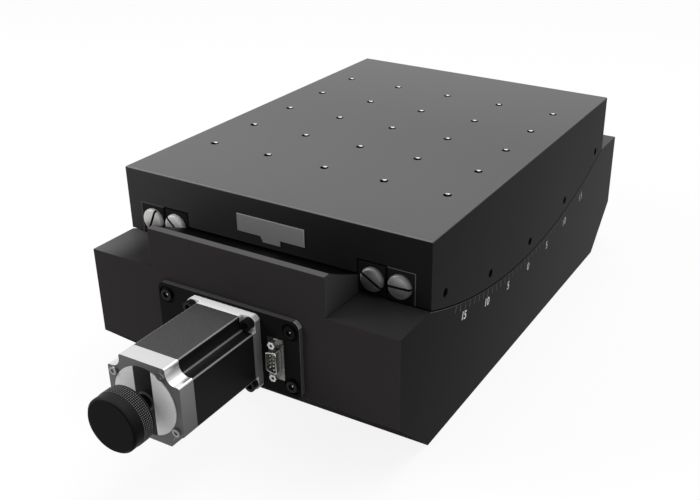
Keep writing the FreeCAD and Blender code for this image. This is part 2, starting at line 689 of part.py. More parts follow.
def table_block():
    slabs = [arc_slab(-BELLY_SIDE, BELLY_SIDE, TABLE_BELLY_RADIUS)]
    roof_radius = RAIL_TOP_RADIUS - ROOF_GAP
    for side in (-1, 1):
        for x0, x1, radius in ((BELLY_SIDE, GUIDE_X, roof_radius),
                               (GUIDE_X, OUTER_RAIL_END, RAIL_TOP_RADIUS),
                               (OUTER_RAIL_END, BLOCK_SIDE, SKIRT_RADIUS)):
            slabs.append(arc_slab(min(side * x0, side * x1), max(side * x0, side * x1), radius))
    block = fused(slabs)
    rim = [e for e in block.Edges if all(abs(v.Point.z - TABLE_TOP) < 1e-6 for v in e.Vertexes)]
    block = block.makeChamfer(EDGE_BREAK, rim)
    cuts = []
    sink = GRID_SINK_RADIUS - GRID_HOLE_RADIUS
    for point in grid_points():
        cuts.append(rod(GRID_HOLE_RADIUS, point, Z_AXIS * -1, GRID_HOLE_DEPTH))
        cuts.append(Part.makeCone(GRID_SINK_RADIUS, GRID_HOLE_RADIUS, sink, point, Z_AXIS * -1))
    half = RACK_FLANGE_WIDTH / 2 + CHANNEL_CLEARANCE
    outside = TABLE_BELLY_RADIUS + OVERSHOOT
    channel = [(DRIVE_X - half, RACK_SEAT_RADIUS), (DRIVE_X + half, RACK_SEAT_RADIUS)]
    channel += [(DRIVE_X + half, outside), (DRIVE_X - half, outside)]
    cuts.append(swept_section(channel, RACK_HALF_ANGLE + CHANNEL_END_ANGLE))
    for point, way in rack_screw_places():
        cuts.append(thread_hole(M4_RADIUS, point, way, RACK_FLANGE_HEIGHT + RACK_SCREW_BITE))
    for side in (-1, 1):
        for point, way in outer_screw_places(side):
            cuts.append(screw_hole(M3, point, way, OUTER_SCREW_LENGTH, HEAD_SUNK + M3_HEAD_HEIGHT))
    cuts.append(rod(MAGNET_RADIUS + SEAT_CLEARANCE, magnet_seat(), Z_AXIS, MAGNET_HEIGHT))
    cuts.append(rod(MAGNET_RADIUS + SEAT_CLEARANCE, magnet_seat(), Z_AXIS * -1, MAGNET_SUNK + OVERSHOOT))
    return block.cut(cuts)


def magnet_seat():
    """The lower end of the magnet, just inside the belly."""
    return radial_point(SENSOR_X, TABLE_BELLY_RADIUS - MAGNET_SUNK, 0)


def trip_magnet():
    return rod(MAGNET_RADIUS, magnet_seat(), Z_AXIS, MAGNET_HEIGHT)


def nameplate():
    low = NAMEPLATE_TOP - NAMEPLATE_HEIGHT
    tab = low - NAMEPLATE_TAB_DROP
    points = [(NAMEPLATE_LEFT, NAMEPLATE_TOP), (NAMEPLATE_RIGHT, NAMEPLATE_TOP), (NAMEPLATE_RIGHT, low)]
    points += [(NAMEPLATE_TAB_RIGHT, low), (NAMEPLATE_TAB_RIGHT, tab)]
    points += [(NAMEPLATE_TAB_LEFT, tab), (NAMEPLATE_TAB_LEFT - NAMEPLATE_TAB_SLANT, low)]
    points.append((NAMEPLATE_LEFT, low))
    return front_prism(points, -TABLE_END - NAMEPLATE_THICKNESS, -TABLE_END)


def rack_outline(x, twist):
    """The toothed outline of the rack at one X, turned a little for the lead of the worm."""
    slope = math.tan(math.radians(PRESSURE_ANGLE))
    root = RACK_TIP_RADIUS - 2 * MODULE - ROOT_CLEARANCE
    half_pitch = LEAD / 4 - FLANK_CLEARANCE / 2
    tip_half = half_pitch - MODULE * slope
    root_half = half_pitch + (MODULE + ROOT_CLEARANCE) * slope
    end_angle = TOOTH_ANGLE * (RACK_TEETH_HALF + 0.5)
    points = [radial_point(x, RACK_SEAT_RADIUS, -end_angle + twist)]
    for k in range(-RACK_TEETH_HALF, RACK_TEETH_HALF):
        centre = TOOTH_ANGLE * (k + 0.5) + twist
        for radius, width in ((root, -root_half), (RACK_TIP_RADIUS, -tip_half),
                              (RACK_TIP_RADIUS, tip_half), (root, root_half)):
            points.append(radial_point(x, radius, centre + math.degrees(width / RACK_PITCH_RADIUS)))
    points.append(radial_point(x, RACK_SEAT_RADIUS, end_angle + twist))
    return Part.makePolygon(points + points[:1])


def arc_rack():
    """The bronze arc rack: a bolted flange with skewed teeth that face down to the worm."""
    half_face = RACK_FACE_WIDTH / 2
    twist = math.degrees(half_face * LEAD_SLOPE / RACK_PITCH_RADIUS)
    ends = [rack_outline(DRIVE_X - half_face, -twist), rack_outline(DRIVE_X + half_face, twist)]
    half = RACK_FLANGE_WIDTH / 2
    low = RACK_SEAT_RADIUS + RACK_FLANGE_HEIGHT
    core = rod(low - OVERSHOOT, V(DRIVE_X - half, 0, AXIS_Z), X_AXIS, RACK_FLANGE_WIDTH)
    teeth = Part.makeLoft(ends, True, True).cut(core)
    corners = [(DRIVE_X - half, RACK_SEAT_RADIUS), (DRIVE_X + half, RACK_SEAT_RADIUS)]
    corners += [(DRIVE_X + half, low), (DRIVE_X - half, low)]
    flange = swept_section(corners, RACK_HALF_ANGLE)
    whole = flange.fuse(teeth)
    holes = [thread_hole(M4_RADIUS, p, d, RACK_FLANGE_HEIGHT) for p, d in rack_screw_places()]
    return whole.cut(holes)


def arc_rack_screws():
    screws = []
    for point, way in rack_screw_places():
        screws.append(headed_screw(M4, point, way, RACK_FLANGE_HEIGHT + RACK_SCREW_BITE))
    return Part.makeCompound(screws)


def rollers_at(side):
    """Crossed rollers: each one leans 45 degrees, the other way from the one before it."""
    radius = ROLLER_DIAMETER / 2 - ROLLER_CLEARANCE
    length = ROLLER_DIAMETER - 4 * ROLLER_CLEARANCE
    shapes = []
    for k, angle in enumerate(roller_angles()):
        lean = 1 if k % 2 == 0 else -1
        way = V(side * lean, 0, 1)
        way.normalize()
        centre = radial_point(side * GUIDE_X, GUIDE_RADIUS, 0)
        shapes.append(turned(rod(radius, centre - way * (length / 2), way, length), angle))
    return shapes


def roller_angles():
    step = 2 * CAGE_HALF_ANGLE / ROLLER_COUNT
    return [-CAGE_HALF_ANGLE + step * (k + 0.5) for k in range(ROLLER_COUNT)]


def rollers(side):
    return Part.makeCompound(rollers_at(side))


def roller_cage(side):
    x0 = GUIDE_X - CAGE_THICKNESS / 2
    x1 = GUIDE_X + CAGE_THICKNESS / 2
    top = GUIDE_RADIUS - CAGE_HEIGHT / 2
    low = GUIDE_RADIUS + CAGE_HEIGHT / 2
    strip = swept_section([(x0, top), (x1, top), (x1, low), (x0, low)], CAGE_HALF_ANGLE)
    tall = ROLLER_DIAMETER / math.sqrt(2) + CAGE_THICKNESS / 2 + WINDOW_CLEARANCE
    wide = ROLLER_DIAMETER / 2 + WINDOW_CLEARANCE
    centre = AXIS_Z - GUIDE_RADIUS
    window = box(x0 - OVERSHOOT, x1 + OVERSHOOT, -wide, wide, centre - tall, centre + tall)
    strip = strip.cut([turned(window, angle) for angle in roller_angles()])
    return mirrored(strip, side)


def motor_plate():
    plate = box(PLATE_LEFT, PLATE_RIGHT, PLATE_FRONT, -BASE_END, PLATE_BOTTOM, PLATE_TOP)
    uprights = [e for e in plate.Edges if abs(e.tangentAt(e.FirstParameter).y) > 0.9]
    plate = plate.makeFillet(PLATE_CORNER, uprights)
    centre = V(DRIVE_X, PLATE_FRONT, DRIVE_Z)
    cuts = [rod(MOTOR_PILOT_RADIUS + RUN_CLEARANCE, centre, Y_AXIS, PLATE_THICKNESS)]
    for point in plate_screw_points():
        start = V(point.x, PLATE_FRONT, point.z)
        cuts.append(rod(PLATE_RECESS_RADIUS, start, Y_AXIS, PLATE_RECESS_DEPTH))
        cuts.append(through_hole(M5_RADIUS, start, PLATE_THICKNESS))
    for point in motor_hole_points(PLATE_FRONT):
        cuts.append(through_hole(M5_RADIUS, point, PLATE_THICKNESS))
    cuts.append(shell_outline(PLATE_FRONT, PLATE_THICKNESS, SHELL_HOLE_CLEARANCE))
    for point in jack_points(PLATE_FRONT):
        cuts.append(through_hole(M3_RADIUS, point, PLATE_THICKNESS))
    return plate.cut(cuts)


def motor_plate_screws():
    length = PLATE_THICKNESS - PLATE_RECESS_DEPTH + PLATE_SCREW_BITE
    return Part.makeCompound([cap_screw(M5_LOW, p, Y_AXIS, length) for p in plate_screw_points()])


def motor_square(y, length):
    left = DRIVE_X - MOTOR_HALF
    low = DRIVE_Z - MOTOR_HALF
    block = box(left, left + MOTOR_SIDE, y, y + length, low, low + MOTOR_SIDE)
    uprights = [e for e in block.Edges if abs(e.tangentAt(e.FirstParameter).y) > 0.9]
    return block.makeFillet(MOTOR_CORNER, uprights)


def motor_section(y, length):
    """The motor's square with a round groove along each corner, and lips beside the grooves."""
    left = DRIVE_X - MOTOR_HALF
    low = DRIVE_Z - MOTOR_HALF
    block = box(left, left + MOTOR_SIDE, y, y + length, low, low + MOTOR_SIDE)
    d = MOTOR_SCALLOP_OFFSET
    places = [V(DRIVE_X + sx * d, y, DRIVE_Z + sz * d) for sx in (-1, 1) for sz in (-1, 1)]
    block = block.cut([rod(MOTOR_SCALLOP_RADIUS, p, Y_AXIS, length) for p in places])
    lips = []
    for edge in block.Edges:
        point = edge.valueAt(edge.FirstParameter)
        along = abs(edge.tangentAt(edge.FirstParameter).y) > 0.9
        on_side = max(abs(point.x - DRIVE_X), abs(point.z - DRIVE_Z)) > MOTOR_HALF - 1e-6
        if along and on_side:
            lips.append(edge)
    return block.makeFillet(MOTOR_LIP, lips)


def motor_flange():
    """A square plate that is bolted on, and a step on it with the section of the motor's body."""
    plate = motor_square(FLANGE_SEAT, MOTOR_FLANGE - MOTOR_FLANGE_STEP)
    step = motor_section(FLANGE_FRONT, MOTOR_FLANGE_STEP)
    pilot = rod(MOTOR_PILOT_RADIUS, V(DRIVE_X, PLATE_FRONT, DRIVE_Z), Y_AXIS, MOTOR_PILOT_HEIGHT)
    bore_start = V(DRIVE_X, FLANGE_FRONT, DRIVE_Z)
    bore = rod(MOTOR_SHAFT_RADIUS + RUN_CLEARANCE, bore_start, Y_AXIS, MOTOR_FLANGE + MOTOR_PILOT_HEIGHT)
    holes = [through_hole(M5_RADIUS, p, MOTOR_FLANGE) for p in motor_hole_points(FLANGE_SEAT)]
    return fused([plate, step, pilot]).cut([bore] + holes)


def motor_body():
    bore = rod(ROTOR_RADIUS + ROTOR_GAP, V(DRIVE_X, BODY_FRONT, DRIVE_Z), Y_AXIS, MOTOR_BODY)
    return motor_section(BODY_FRONT, MOTOR_BODY).cut(bore)


def motor_rear_cap():
    bore = rod(MOTOR_SHAFT_RADIUS + RUN_CLEARANCE, V(DRIVE_X, CAP_FRONT, DRIVE_Z), Y_AXIS, MOTOR_CAP)
    holes = [through_hole(M3_RADIUS, p, MOTOR_CAP) for p in tie_points()]
    return motor_section(CAP_FRONT, MOTOR_CAP).cut([bore] + holes)


def tie_points():
    """Four points beside the corners, each a quarter turn from the one before it."""
    out = MOTOR_HALF - TIE_INSET
    offsets = ((TIE_SHIFT, out), (out, -TIE_SHIFT), (-TIE_SHIFT, -out), (-out, TIE_SHIFT))
    return [V(DRIVE_X + x, CAP_FRONT, DRIVE_Z + z) for x, z in offsets]


def motor_mount_screws():
    length = MOTOR_FLANGE - MOTOR_FLANGE_STEP + PLATE_THICKNESS + PLATE_SCREW_BITE
    return Part.makeCompound([cap_screw(M5, p, Y_AXIS, length) for p in motor_hole_points(FLANGE_SEAT)])


def motor_tie_screws():
    return Part.makeCompound([cap_screw(M3_PAN, p, Y_AXIS, MOTOR_CAP) for p in tie_points()])


def motor_label():
    start = V(DRIVE_X, CAP_FRONT - LABEL_THICKNESS, DRIVE_Z)
    disc = rod(MOTOR_HALF - LABEL_INSET, start, Y_AXIS, LABEL_THICKNESS)
    cuts = [rod(LABEL_HOLE, start, Y_AXIS, LABEL_THICKNESS)]
    for point in tie_points():
        head_start = point - Y_AXIS * LABEL_THICKNESS
        cuts.append(rod(M3_HEAD_RADIUS + HEAD_CLEARANCE, head_start, Y_AXIS, LABEL_THICKNESS))
    return disc.cut(cuts)


def bearing_block(side):
    """One bearing block: a body in the neck of the room with an ear under each shoulder."""
    y0 = side * BEARING_BLOCK_Y - BEARING_BLOCK_DEPTH / 2
    y1 = y0 + BEARING_BLOCK_DEPTH
    z0 = ROOM_SHOULDER - BEARING_EAR_HEIGHT
    gap = BEARING_BLOCK_GAP
    body = box(NECK_LEFT + gap, NECK_RIGHT - gap, y0, y1, z0, ROOM_TOP - gap)
    ears = box(ROOM_LEFT + gap, ROOM_RIGHT - gap, y0, y1, z0, ROOM_SHOULDER)
    depth = BEARING_BLOCK_DEPTH - BEARING_SHOULDER
    start = bearing_start(side)
    if side < 0:
        start = V(DRIVE_X, y0, DRIVE_Z)
    cuts = [rod(BEARING_OUTER_RADIUS + SEAT_CLEARANCE, start, Y_AXIS, depth)]
    pass_start = V(DRIVE_X, y0, DRIVE_Z)
    cuts.append(rod(WORM_SHAFT_RADIUS + BEARING_PASS, pass_start, Y_AXIS, BEARING_BLOCK_DEPTH))
    for point, way in bearing_screw_places():
        if point.y * side > 0:
            cuts.append(screw_hole(M5, point, way, bearing_screw_length(), M5_HEAD_HEIGHT))
    return fused([body, ears]).cut(cuts)


def bearing_start(side):
    """The end of a bearing at the lower Y. Each one rests on the shoulder of its block."""
    y = BEARING_INNER_FACE if side > 0 else -BEARING_INNER_FACE - BEARING_WIDTH
    return V(DRIVE_X, y, DRIVE_Z)


def bearing_block_screws():
    length = bearing_screw_length()
    return Part.makeCompound([headed_screw(M5, p, d, length) for p, d in bearing_screw_places()])


def ring(inner, outer, start, length):
    return rod(outer, start, Y_AXIS, length).cut(rod(inner, start, Y_AXIS, length))


def bearing_outer_rings():
    inner = BEARING_RACE_RADIUS + RUN_CLEARANCE
    rings = []
    for side in (-1, 1):
        rings.append(ring(inner, BEARING_OUTER_RADIUS, bearing_start(side), BEARING_WIDTH))
    return Part.makeCompound(rings)


def bearing_inner_rings():
    rings = []
    for side in (-1, 1):
        rings.append(ring(WORM_SHAFT_RADIUS, BEARING_RACE_RADIUS, bearing_start(side), BEARING_WIDTH))
    return Part.makeCompound(rings)


def worm_thread():
    """The helical thread: a trapezoid carried along a helix, with its foot sunk in the core."""
    slope = math.tan(math.radians(PRESSURE_ANGLE))
    half = LEAD / 4 - FLANK_CLEARANCE / 2
    root = WORM_ROOT_RADIUS - WORM_THREAD_SUNK
    root_half = half + (WORM_PITCH_RADIUS - root) * slope
    tip_half = half - MODULE * slope
    helix = Part.makeHelix(LEAD, WORM_LENGTH, WORM_PITCH_RADIUS)
    corners = [V(root, 0, -root_half), V(WORM_TIP_RADIUS, 0, -tip_half)]
    corners += [V(WORM_TIP_RADIUS, 0, tip_half), V(root, 0, root_half)]
    profile = Part.makePolygon(corners + corners[:1])
    thread = Part.Wire(helix).makePipeShell([profile], True, True)
    thread.translate(V(0, 0, -WORM_LENGTH / 2))
    thread.rotate(V(0, 0, 0), X_AXIS, -90)
    thread.rotate(V(0, 0, 0), Y_AXIS, -90)
    thread.translate(V(DRIVE_X, 0, DRIVE_Z))
    return thread


def worm_shaft():
    """The worm in one piece with its shaft, from the coupling to the lock nut."""
    front = coupling_hub_start(1) + SHAFT_END_GAP
    back = BEARING_INNER_FACE + BEARING_WIDTH + LOCK_NUT_HEIGHT + LOCK_NUT_REST
    core_start = V(DRIVE_X, -WORM_CORE_END, DRIVE_Z)
    shapes = [rod(WORM_ROOT_RADIUS, core_start, Y_AXIS, 2 * WORM_CORE_END)]
    shapes.append(rod(WORM_SHAFT_RADIUS, V(DRIVE_X, front, DRIVE_Z), Y_AXIS, back - front))
    collar = WORM_SHAFT_RADIUS + WORM_COLLAR
    shapes.append(rod(collar, V(DRIVE_X, -BEARING_INNER_FACE, DRIVE_Z), Y_AXIS, 2 * BEARING_INNER_FACE))
    return shapes[0].fuse(shapes[1:] + [worm_thread()])


def lock_nut():
    start = V(DRIVE_X, bearing_start(1).y + BEARING_WIDTH, DRIVE_Z)
    nut = ring(WORM_SHAFT_RADIUS, LOCK_NUT_RADIUS, start, LOCK_NUT_HEIGHT)
    half = LOCK_NUT_SLOT_WIDTH / 2
    bottom = LOCK_NUT_RADIUS - LOCK_NUT_SLOT_DEPTH
    slot = box(-half, half, 0, LOCK_NUT_HEIGHT, bottom, LOCK_NUT_RADIUS + OVERSHOOT)
    slots = []
    for k in range(LOCK_NUT_SLOTS):
        one = slot.copy()
        one.rotate(V(0, 0, 0), Y_AXIS, 360 / LOCK_NUT_SLOTS * k)
        one.translate(start)
        slots.append(one)
    return nut.cut(slots)


def coupling_hub_start(which):
    """Front face of the motor's hub (0) or of the worm's hub (1)."""
    return COUPLING_FRONT + which * (COUPLING_HUB + COUPLING_JAW)


def wedge(inner, outer, y0, length, start_angle, sweep):
    """A sector of a ring about the drive axis."""
    corners = [V(DRIVE_X + inner, y0, DRIVE_Z), V(DRIVE_X + outer, y0, DRIVE_Z)]
    corners += [V(DRIVE_X + outer, y0 + length, DRIVE_Z), V(DRIVE_X + inner, y0 + length, DRIVE_Z)]
    face = Part.Face(Part.makePolygon(corners + corners[:1]))
    face.rotate(V(DRIVE_X, 0, DRIVE_Z), Y_AXIS, start_angle)
    return face.revolve(V(DRIVE_X, 0, DRIVE_Z), Y_AXIS, sweep)


def coupling_hub(which):
    bore_radius = WORM_SHAFT_RADIUS if which else MOTOR_SHAFT_RADIUS
    y0 = coupling_hub_start(which)
    hub = ring(bore_radius, COUPLING_RADIUS, V(DRIVE_X, y0, DRIVE_Z), COUPLING_HUB)
    jaw_y = y0 - COUPLING_JAW if which else y0 + COUPLING_HUB
    sweep = jaw_sweep()
    jaws = []
    for k in range(COUPLING_JAWS):
        angle = (4 * k + 2 * which) * sweep
        jaws.append(wedge(JAW_INNER_RADIUS, COUPLING_RADIUS, jaw_y, COUPLING_JAW, angle, sweep))
    return hub.fuse(jaws)


def jaw_sweep():
    """The jaws of both hubs and the legs between them share the circle evenly."""
    return 360 / (4 * COUPLING_JAWS)


def coupling_spider():
    """The elastic star between the jaws of both hubs."""
    y0 = coupling_hub_start(0) + COUPLING_HUB
    heart_radius = JAW_INNER_RADIUS - SPIDER_GAP
    heart = ring(SPIDER_BORE, heart_radius, V(DRIVE_X, y0, DRIVE_Z), COUPLING_JAW)
    leg_end = COUPLING_RADIUS - SPIDER_GAP
    sweep = jaw_sweep()
    legs = []
    for k in range(2 * COUPLING_JAWS):
        angle = (2 * k + 1) * sweep
        legs.append(wedge(heart_radius - SPIDER_GAP, leg_end, y0, COUPLING_JAW, angle, sweep))
    return heart.fuse(legs)


def motor_rotor():
    """The rotor with the shaft that leaves the motor at both ends."""
    y0 = CAP_FRONT - KNOB_GAP - KNOB_HUB - KNOB_GRIP / 2
    y1 = PLATE_FRONT + MOTOR_SHAFT_REACH
    shaft = rod(MOTOR_SHAFT_RADIUS, V(DRIVE_X, y0, DRIVE_Z), Y_AXIS, y1 - y0)
    core_start = V(DRIVE_X, BODY_FRONT + ROTOR_INSET, DRIVE_Z)
    return fused([shaft, rod(ROTOR_RADIUS, core_start, Y_AXIS, MOTOR_BODY - 2 * ROTOR_INSET)])


def knob():
    """The hand knob: a hub with a set screw hole, and a wide grip with broken edges."""
    hub_start = CAP_FRONT - KNOB_GAP
    grip_back = hub_start - KNOB_HUB
    grip_front = grip_back - KNOB_GRIP
    b = KNOB_BREAK
    points = [(0, hub_start), (KNOB_HUB_RADIUS, hub_start), (KNOB_HUB_RADIUS, grip_back)]
    points += [(KNOB_RADIUS - b / 2, grip_back), (KNOB_RADIUS, grip_back - b / 2)]
    points += [(KNOB_RADIUS, grip_front + b), (KNOB_RADIUS - b, grip_front), (0, grip_front)]
    wire = Part.makePolygon([V(DRIVE_X + r, y, DRIVE_Z) for r, y in points + points[:1]])
    body = Part.Face(wire).revolve(V(DRIVE_X, 0, DRIVE_Z), Y_AXIS, 360)
    bore_length = KNOB_HUB + KNOB_GRIP / 2
    bore = rod(MOTOR_SHAFT_RADIUS, V(DRIVE_X, hub_start, DRIVE_Z), Y_AXIS * -1, bore_length)
    screw = rod(M3_RADIUS, knob_screw_start(), Z_AXIS, KNOB_HUB_RADIUS)
    return body.cut([bore, screw])


def knob_screw_start():
    return V(DRIVE_X, CAP_FRONT - KNOB_GAP - KNOB_HUB / 2, DRIVE_Z + MOTOR_SHAFT_RADIUS)


def knob_set_screw():
    start = knob_screw_start()
    length = KNOB_HUB_RADIUS - MOTOR_SHAFT_RADIUS - KNOB_SCREW_SUNK
    screw = rod(M3_RADIUS, start, Z_AXIS, length)
    socket = hex_prism(start + Z_AXIS * length, Z_AXIS * -1, M3_RADIUS, KNOB_SOCKET_DEPTH)
    return screw.cut(socket)


def shell_outline(y, length, grow):
    """The D shape of the connector, long side upright, wider on the plus X side."""
    h = SHELL_HALF_HEIGHT + grow
    w = SHELL_HALF_WIDTH + grow
    points = [(-w, -h + SHELL_TAPER * 2), (w, -h), (w, h), (-w, h - SHELL_TAPER * 2)]
    prism = front_prism([(CONNECTOR_X + x, CONNECTOR_Z + z) for x, z in points], y, y + length)
    uprights = [e for e in prism.Edges if abs(e.tangentAt(e.FirstParameter).y) > 0.9]
    return prism.makeFillet(SHELL_CORNER, uprights)


def jack_points(y):
    return [V(CONNECTOR_X, y, CONNECTOR_Z + sign * JACK_OFFSET) for sign in (-1, 1)]


def connector_shell():
    left = CONNECTOR_X - CONNECTOR_WIDTH / 2
    low = CONNECTOR_Z - CONNECTOR_HEIGHT / 2
    flange = box(left, left + CONNECTOR_WIDTH, CONNECTOR_FACE, PLATE_FRONT, low, low + CONNECTOR_HEIGHT)
    tube = shell_outline(CONNECTOR_FACE - SHELL_REACH, SHELL_REACH, 0)
    inside = shell_outline(CONNECTOR_FACE - SHELL_REACH, SHELL_REACH + CONNECTOR_FLANGE, -SHELL_WALL)
    holes = [through_hole(M3_RADIUS, p, CONNECTOR_FLANGE) for p in jack_points(CONNECTOR_FACE)]
    return fused([flange, tube]).cut([inside] + holes)


def connector_insulator():
    body = shell_outline(CONNECTOR_FACE, INSULATOR_DEPTH, -SHELL_WALL)
    return body.cut(pin_rods(CONNECTOR_FACE, INSULATOR_DEPTH))


def pin_rods(y, length):
    """Nine pins in two rows, five and four."""
    shapes = []
    for row, count in ((PIN_ROW, 5), (-PIN_ROW, 4)):
        for k in range(count):
            z = CONNECTOR_Z + (k - (count - 1) / 2) * PIN_PITCH
            shapes.append(rod(PIN_RADIUS, V(CONNECTOR_X + row, y, z), Y_AXIS, length))
    return shapes


def connector_pins():
    return Part.makeCompound(pin_rods(CONNECTOR_FACE - PIN_REACH, PIN_REACH + INSULATOR_DEPTH))


def connector_jackscrews():
    """Hexagonal pillars with a threaded hole for the plug's own screws."""
    shapes = []
    for start in jack_points(CONNECTOR_FACE):
        pillar = hex_prism(start, Y_AXIS * -1, JACK_ACROSS, JACK_HEIGHT)
        pillar = pillar.cut(rod(JACK_BORE_RADIUS, start - Y_AXIS * JACK_HEIGHT, Y_AXIS, JACK_BORE_DEPTH))
        shapes.append(pillar.fuse(rod(M3_RADIUS, start, Y_AXIS, CONNECTOR_FLANGE + PLATE_THICKNESS)))
    return Part.makeCompound(shapes)


def limit_sensor(side):
    return sensor_pocket(side, 0)


NODES = {
    "base_block": base_block,
    "bottom_cover": bottom_cover,
    "cover_screws": cover_screws,
    "inner_rail_left": lambda: inner_rail(-1),
    "inner_rail_right": lambda: inner_rail(1),
    "inner_rail_screws": inner_rail_screws,
    "base_stop_screws": base_stop_screws,
    "motor_plate": motor_plate,
    "motor_plate_screws": motor_plate_screws,
    "motor_flange": motor_flange,
    "motor_body": motor_body,
    "motor_rear_cap": motor_rear_cap,
    "motor_mount_screws": motor_mount_screws,
    "motor_tie_screws": motor_tie_screws,
    "motor_label": motor_label,
    "bearing_block_front": lambda: bearing_block(-1),
    "bearing_block_rear": lambda: bearing_block(1),
    "bearing_block_screws": bearing_block_screws,
    "bearing_outer_rings": bearing_outer_rings,
    "connector_shell": connector_shell,
    "connector_insulator": connector_insulator,
    "connector_pins": connector_pins,
    "connector_jackscrews": connector_jackscrews,
    "limit_sensor_front": lambda: limit_sensor(-1),
    "limit_sensor_rear": lambda: limit_sensor(1),
    "table_block": table_block,
    "outer_rail_left": lambda: outer_rail(-1),
    "outer_rail_right": lambda: outer_rail(1),
    "outer_rail_screws": outer_rail_screws,
    "table_stop_screws": table_stop_screws,
    "arc_rack": arc_rack,
    "arc_rack_screws": arc_rack_screws,
    "nameplate": nameplate,
    "trip_magnet": trip_magnet,
    "worm_shaft": worm_shaft,
    "bearing_inner_rings": bearing_inner_rings,
    "lock_nut": lock_nut,
    "coupling_motor_hub": lambda: coupling_hub(0),
    "coupling_worm_hub": lambda: coupling_hub(1),
    "coupling_spider": coupling_spider,
    "motor_rotor": motor_rotor,
    "knob": knob,
    "knob_set_screw": knob_set_screw,
    "roller_cage_left": lambda: roller_cage(-1),
    "roller_cage_right": lambda: roller_cage(1),
    "rollers_left": lambda: rollers(-1),
    "rollers_right": lambda: rollers(1),
}


os.makedirs("parts", exist_ok=True)
for name, make in NODES.items():
    make().exportStep("parts/" + name + ".step")
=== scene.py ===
# %% [markdown]
# A motorized goniometer stage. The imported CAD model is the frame: every node is
# already at its real size and place, in metres. This script only dresses it:
# camera, floor, light, finishes, and the small pieces that are better made here:
# the painted degree scale, the knob's knurled band and the slotted stop screws.

# %% Load the frame
import json
import math
import bmesh
import bpy
from mathutils import Matrix, Vector


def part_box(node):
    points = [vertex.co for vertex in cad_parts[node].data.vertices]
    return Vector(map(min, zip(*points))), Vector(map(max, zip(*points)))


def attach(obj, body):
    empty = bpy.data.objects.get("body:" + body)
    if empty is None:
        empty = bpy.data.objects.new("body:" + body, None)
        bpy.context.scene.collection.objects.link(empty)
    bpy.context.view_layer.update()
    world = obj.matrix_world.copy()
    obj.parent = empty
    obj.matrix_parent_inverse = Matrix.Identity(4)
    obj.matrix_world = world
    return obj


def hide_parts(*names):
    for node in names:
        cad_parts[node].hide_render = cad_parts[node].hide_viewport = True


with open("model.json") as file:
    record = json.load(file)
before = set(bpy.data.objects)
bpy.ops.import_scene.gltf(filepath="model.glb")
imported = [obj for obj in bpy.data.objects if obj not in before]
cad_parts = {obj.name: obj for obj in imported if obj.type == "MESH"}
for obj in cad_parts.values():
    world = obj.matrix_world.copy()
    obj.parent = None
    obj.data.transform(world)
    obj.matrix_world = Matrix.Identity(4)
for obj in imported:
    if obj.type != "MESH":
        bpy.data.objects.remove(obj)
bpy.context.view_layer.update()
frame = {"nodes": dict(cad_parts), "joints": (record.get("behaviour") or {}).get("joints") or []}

NODES = frame["nodes"]

# %% [markdown]
# The camera stands in front of the right corner, a little above the table. Its
# place, angles and lens come from the straight edges and the hole grid of the
# table in the photograph. The picture is a crop of a larger one, so the lens
# axis isn't in the middle, and a small shift puts it back.

# %% Camera
CAMERA_PLACE = Vector((0.3632, -0.6444, 0.4144))
CAMERA_HEADING = 27.6013
CAMERA_DOWN = 26.1702
CAMERA_ROLL = 1.0601
PICTURE_WIDTH = 700
PICTURE_HEIGHT = 500
LENS_IN_PIXELS = 962.72
LENS_AXIS = (418.77, 243.87)
SENSOR = 36.0
FAR_CLIP = 50


def add_camera():
    data = bpy.data.cameras.new("view_camera")
    data.sensor_width = SENSOR
    data.lens = LENS_IN_PIXELS / PICTURE_WIDTH * SENSOR
    data.shift_x = (PICTURE_WIDTH / 2 - LENS_AXIS[0]) / PICTURE_WIDTH
    data.shift_y = (LENS_AXIS[1] - PICTURE_HEIGHT / 2) / PICTURE_WIDTH
    data.clip_end = FAR_CLIP
    camera = bpy.data.objects.new("view_camera", data)
    bpy.context.scene.collection.objects.link(camera)
    turn = Matrix.Rotation(math.radians(CAMERA_HEADING), 4, "Z")
    tilt = Matrix.Rotation(math.radians(90 - CAMERA_DOWN), 4, "X")
    roll = Matrix.Rotation(math.radians(CAMERA_ROLL), 4, "Z")
    camera.matrix_world = Matrix.Translation(CAMERA_PLACE) @ turn @ tilt @ roll
    bpy.context.scene.camera = camera
    return camera


camera = add_camera()
lens_shift = [round(shift, 4) for shift in (camera.data.shift_x, camera.data.shift_y)]
print("lens", round(camera.data.lens, 2), "mm, shift", lens_shift)

# %% [markdown]
# Shader maths reads best as plain expressions. A Value wraps one socket and
# overloads the operators, so that a + b * 2 adds the Math nodes by itself. A
# Finish is a material under construction, with one method that adds any node.
# Its paint method lays a further colour over what is there, as far as a mask
# from 0 to 1 says, and most of the looks below are built up in that way.

# %% Shader helpers
FINE_DEPTH = 0.00002
SATIN_DEPTH = 0.00003
PAINT_DEPTH = 0.00004


def grey(level):
    return (level, level, level)


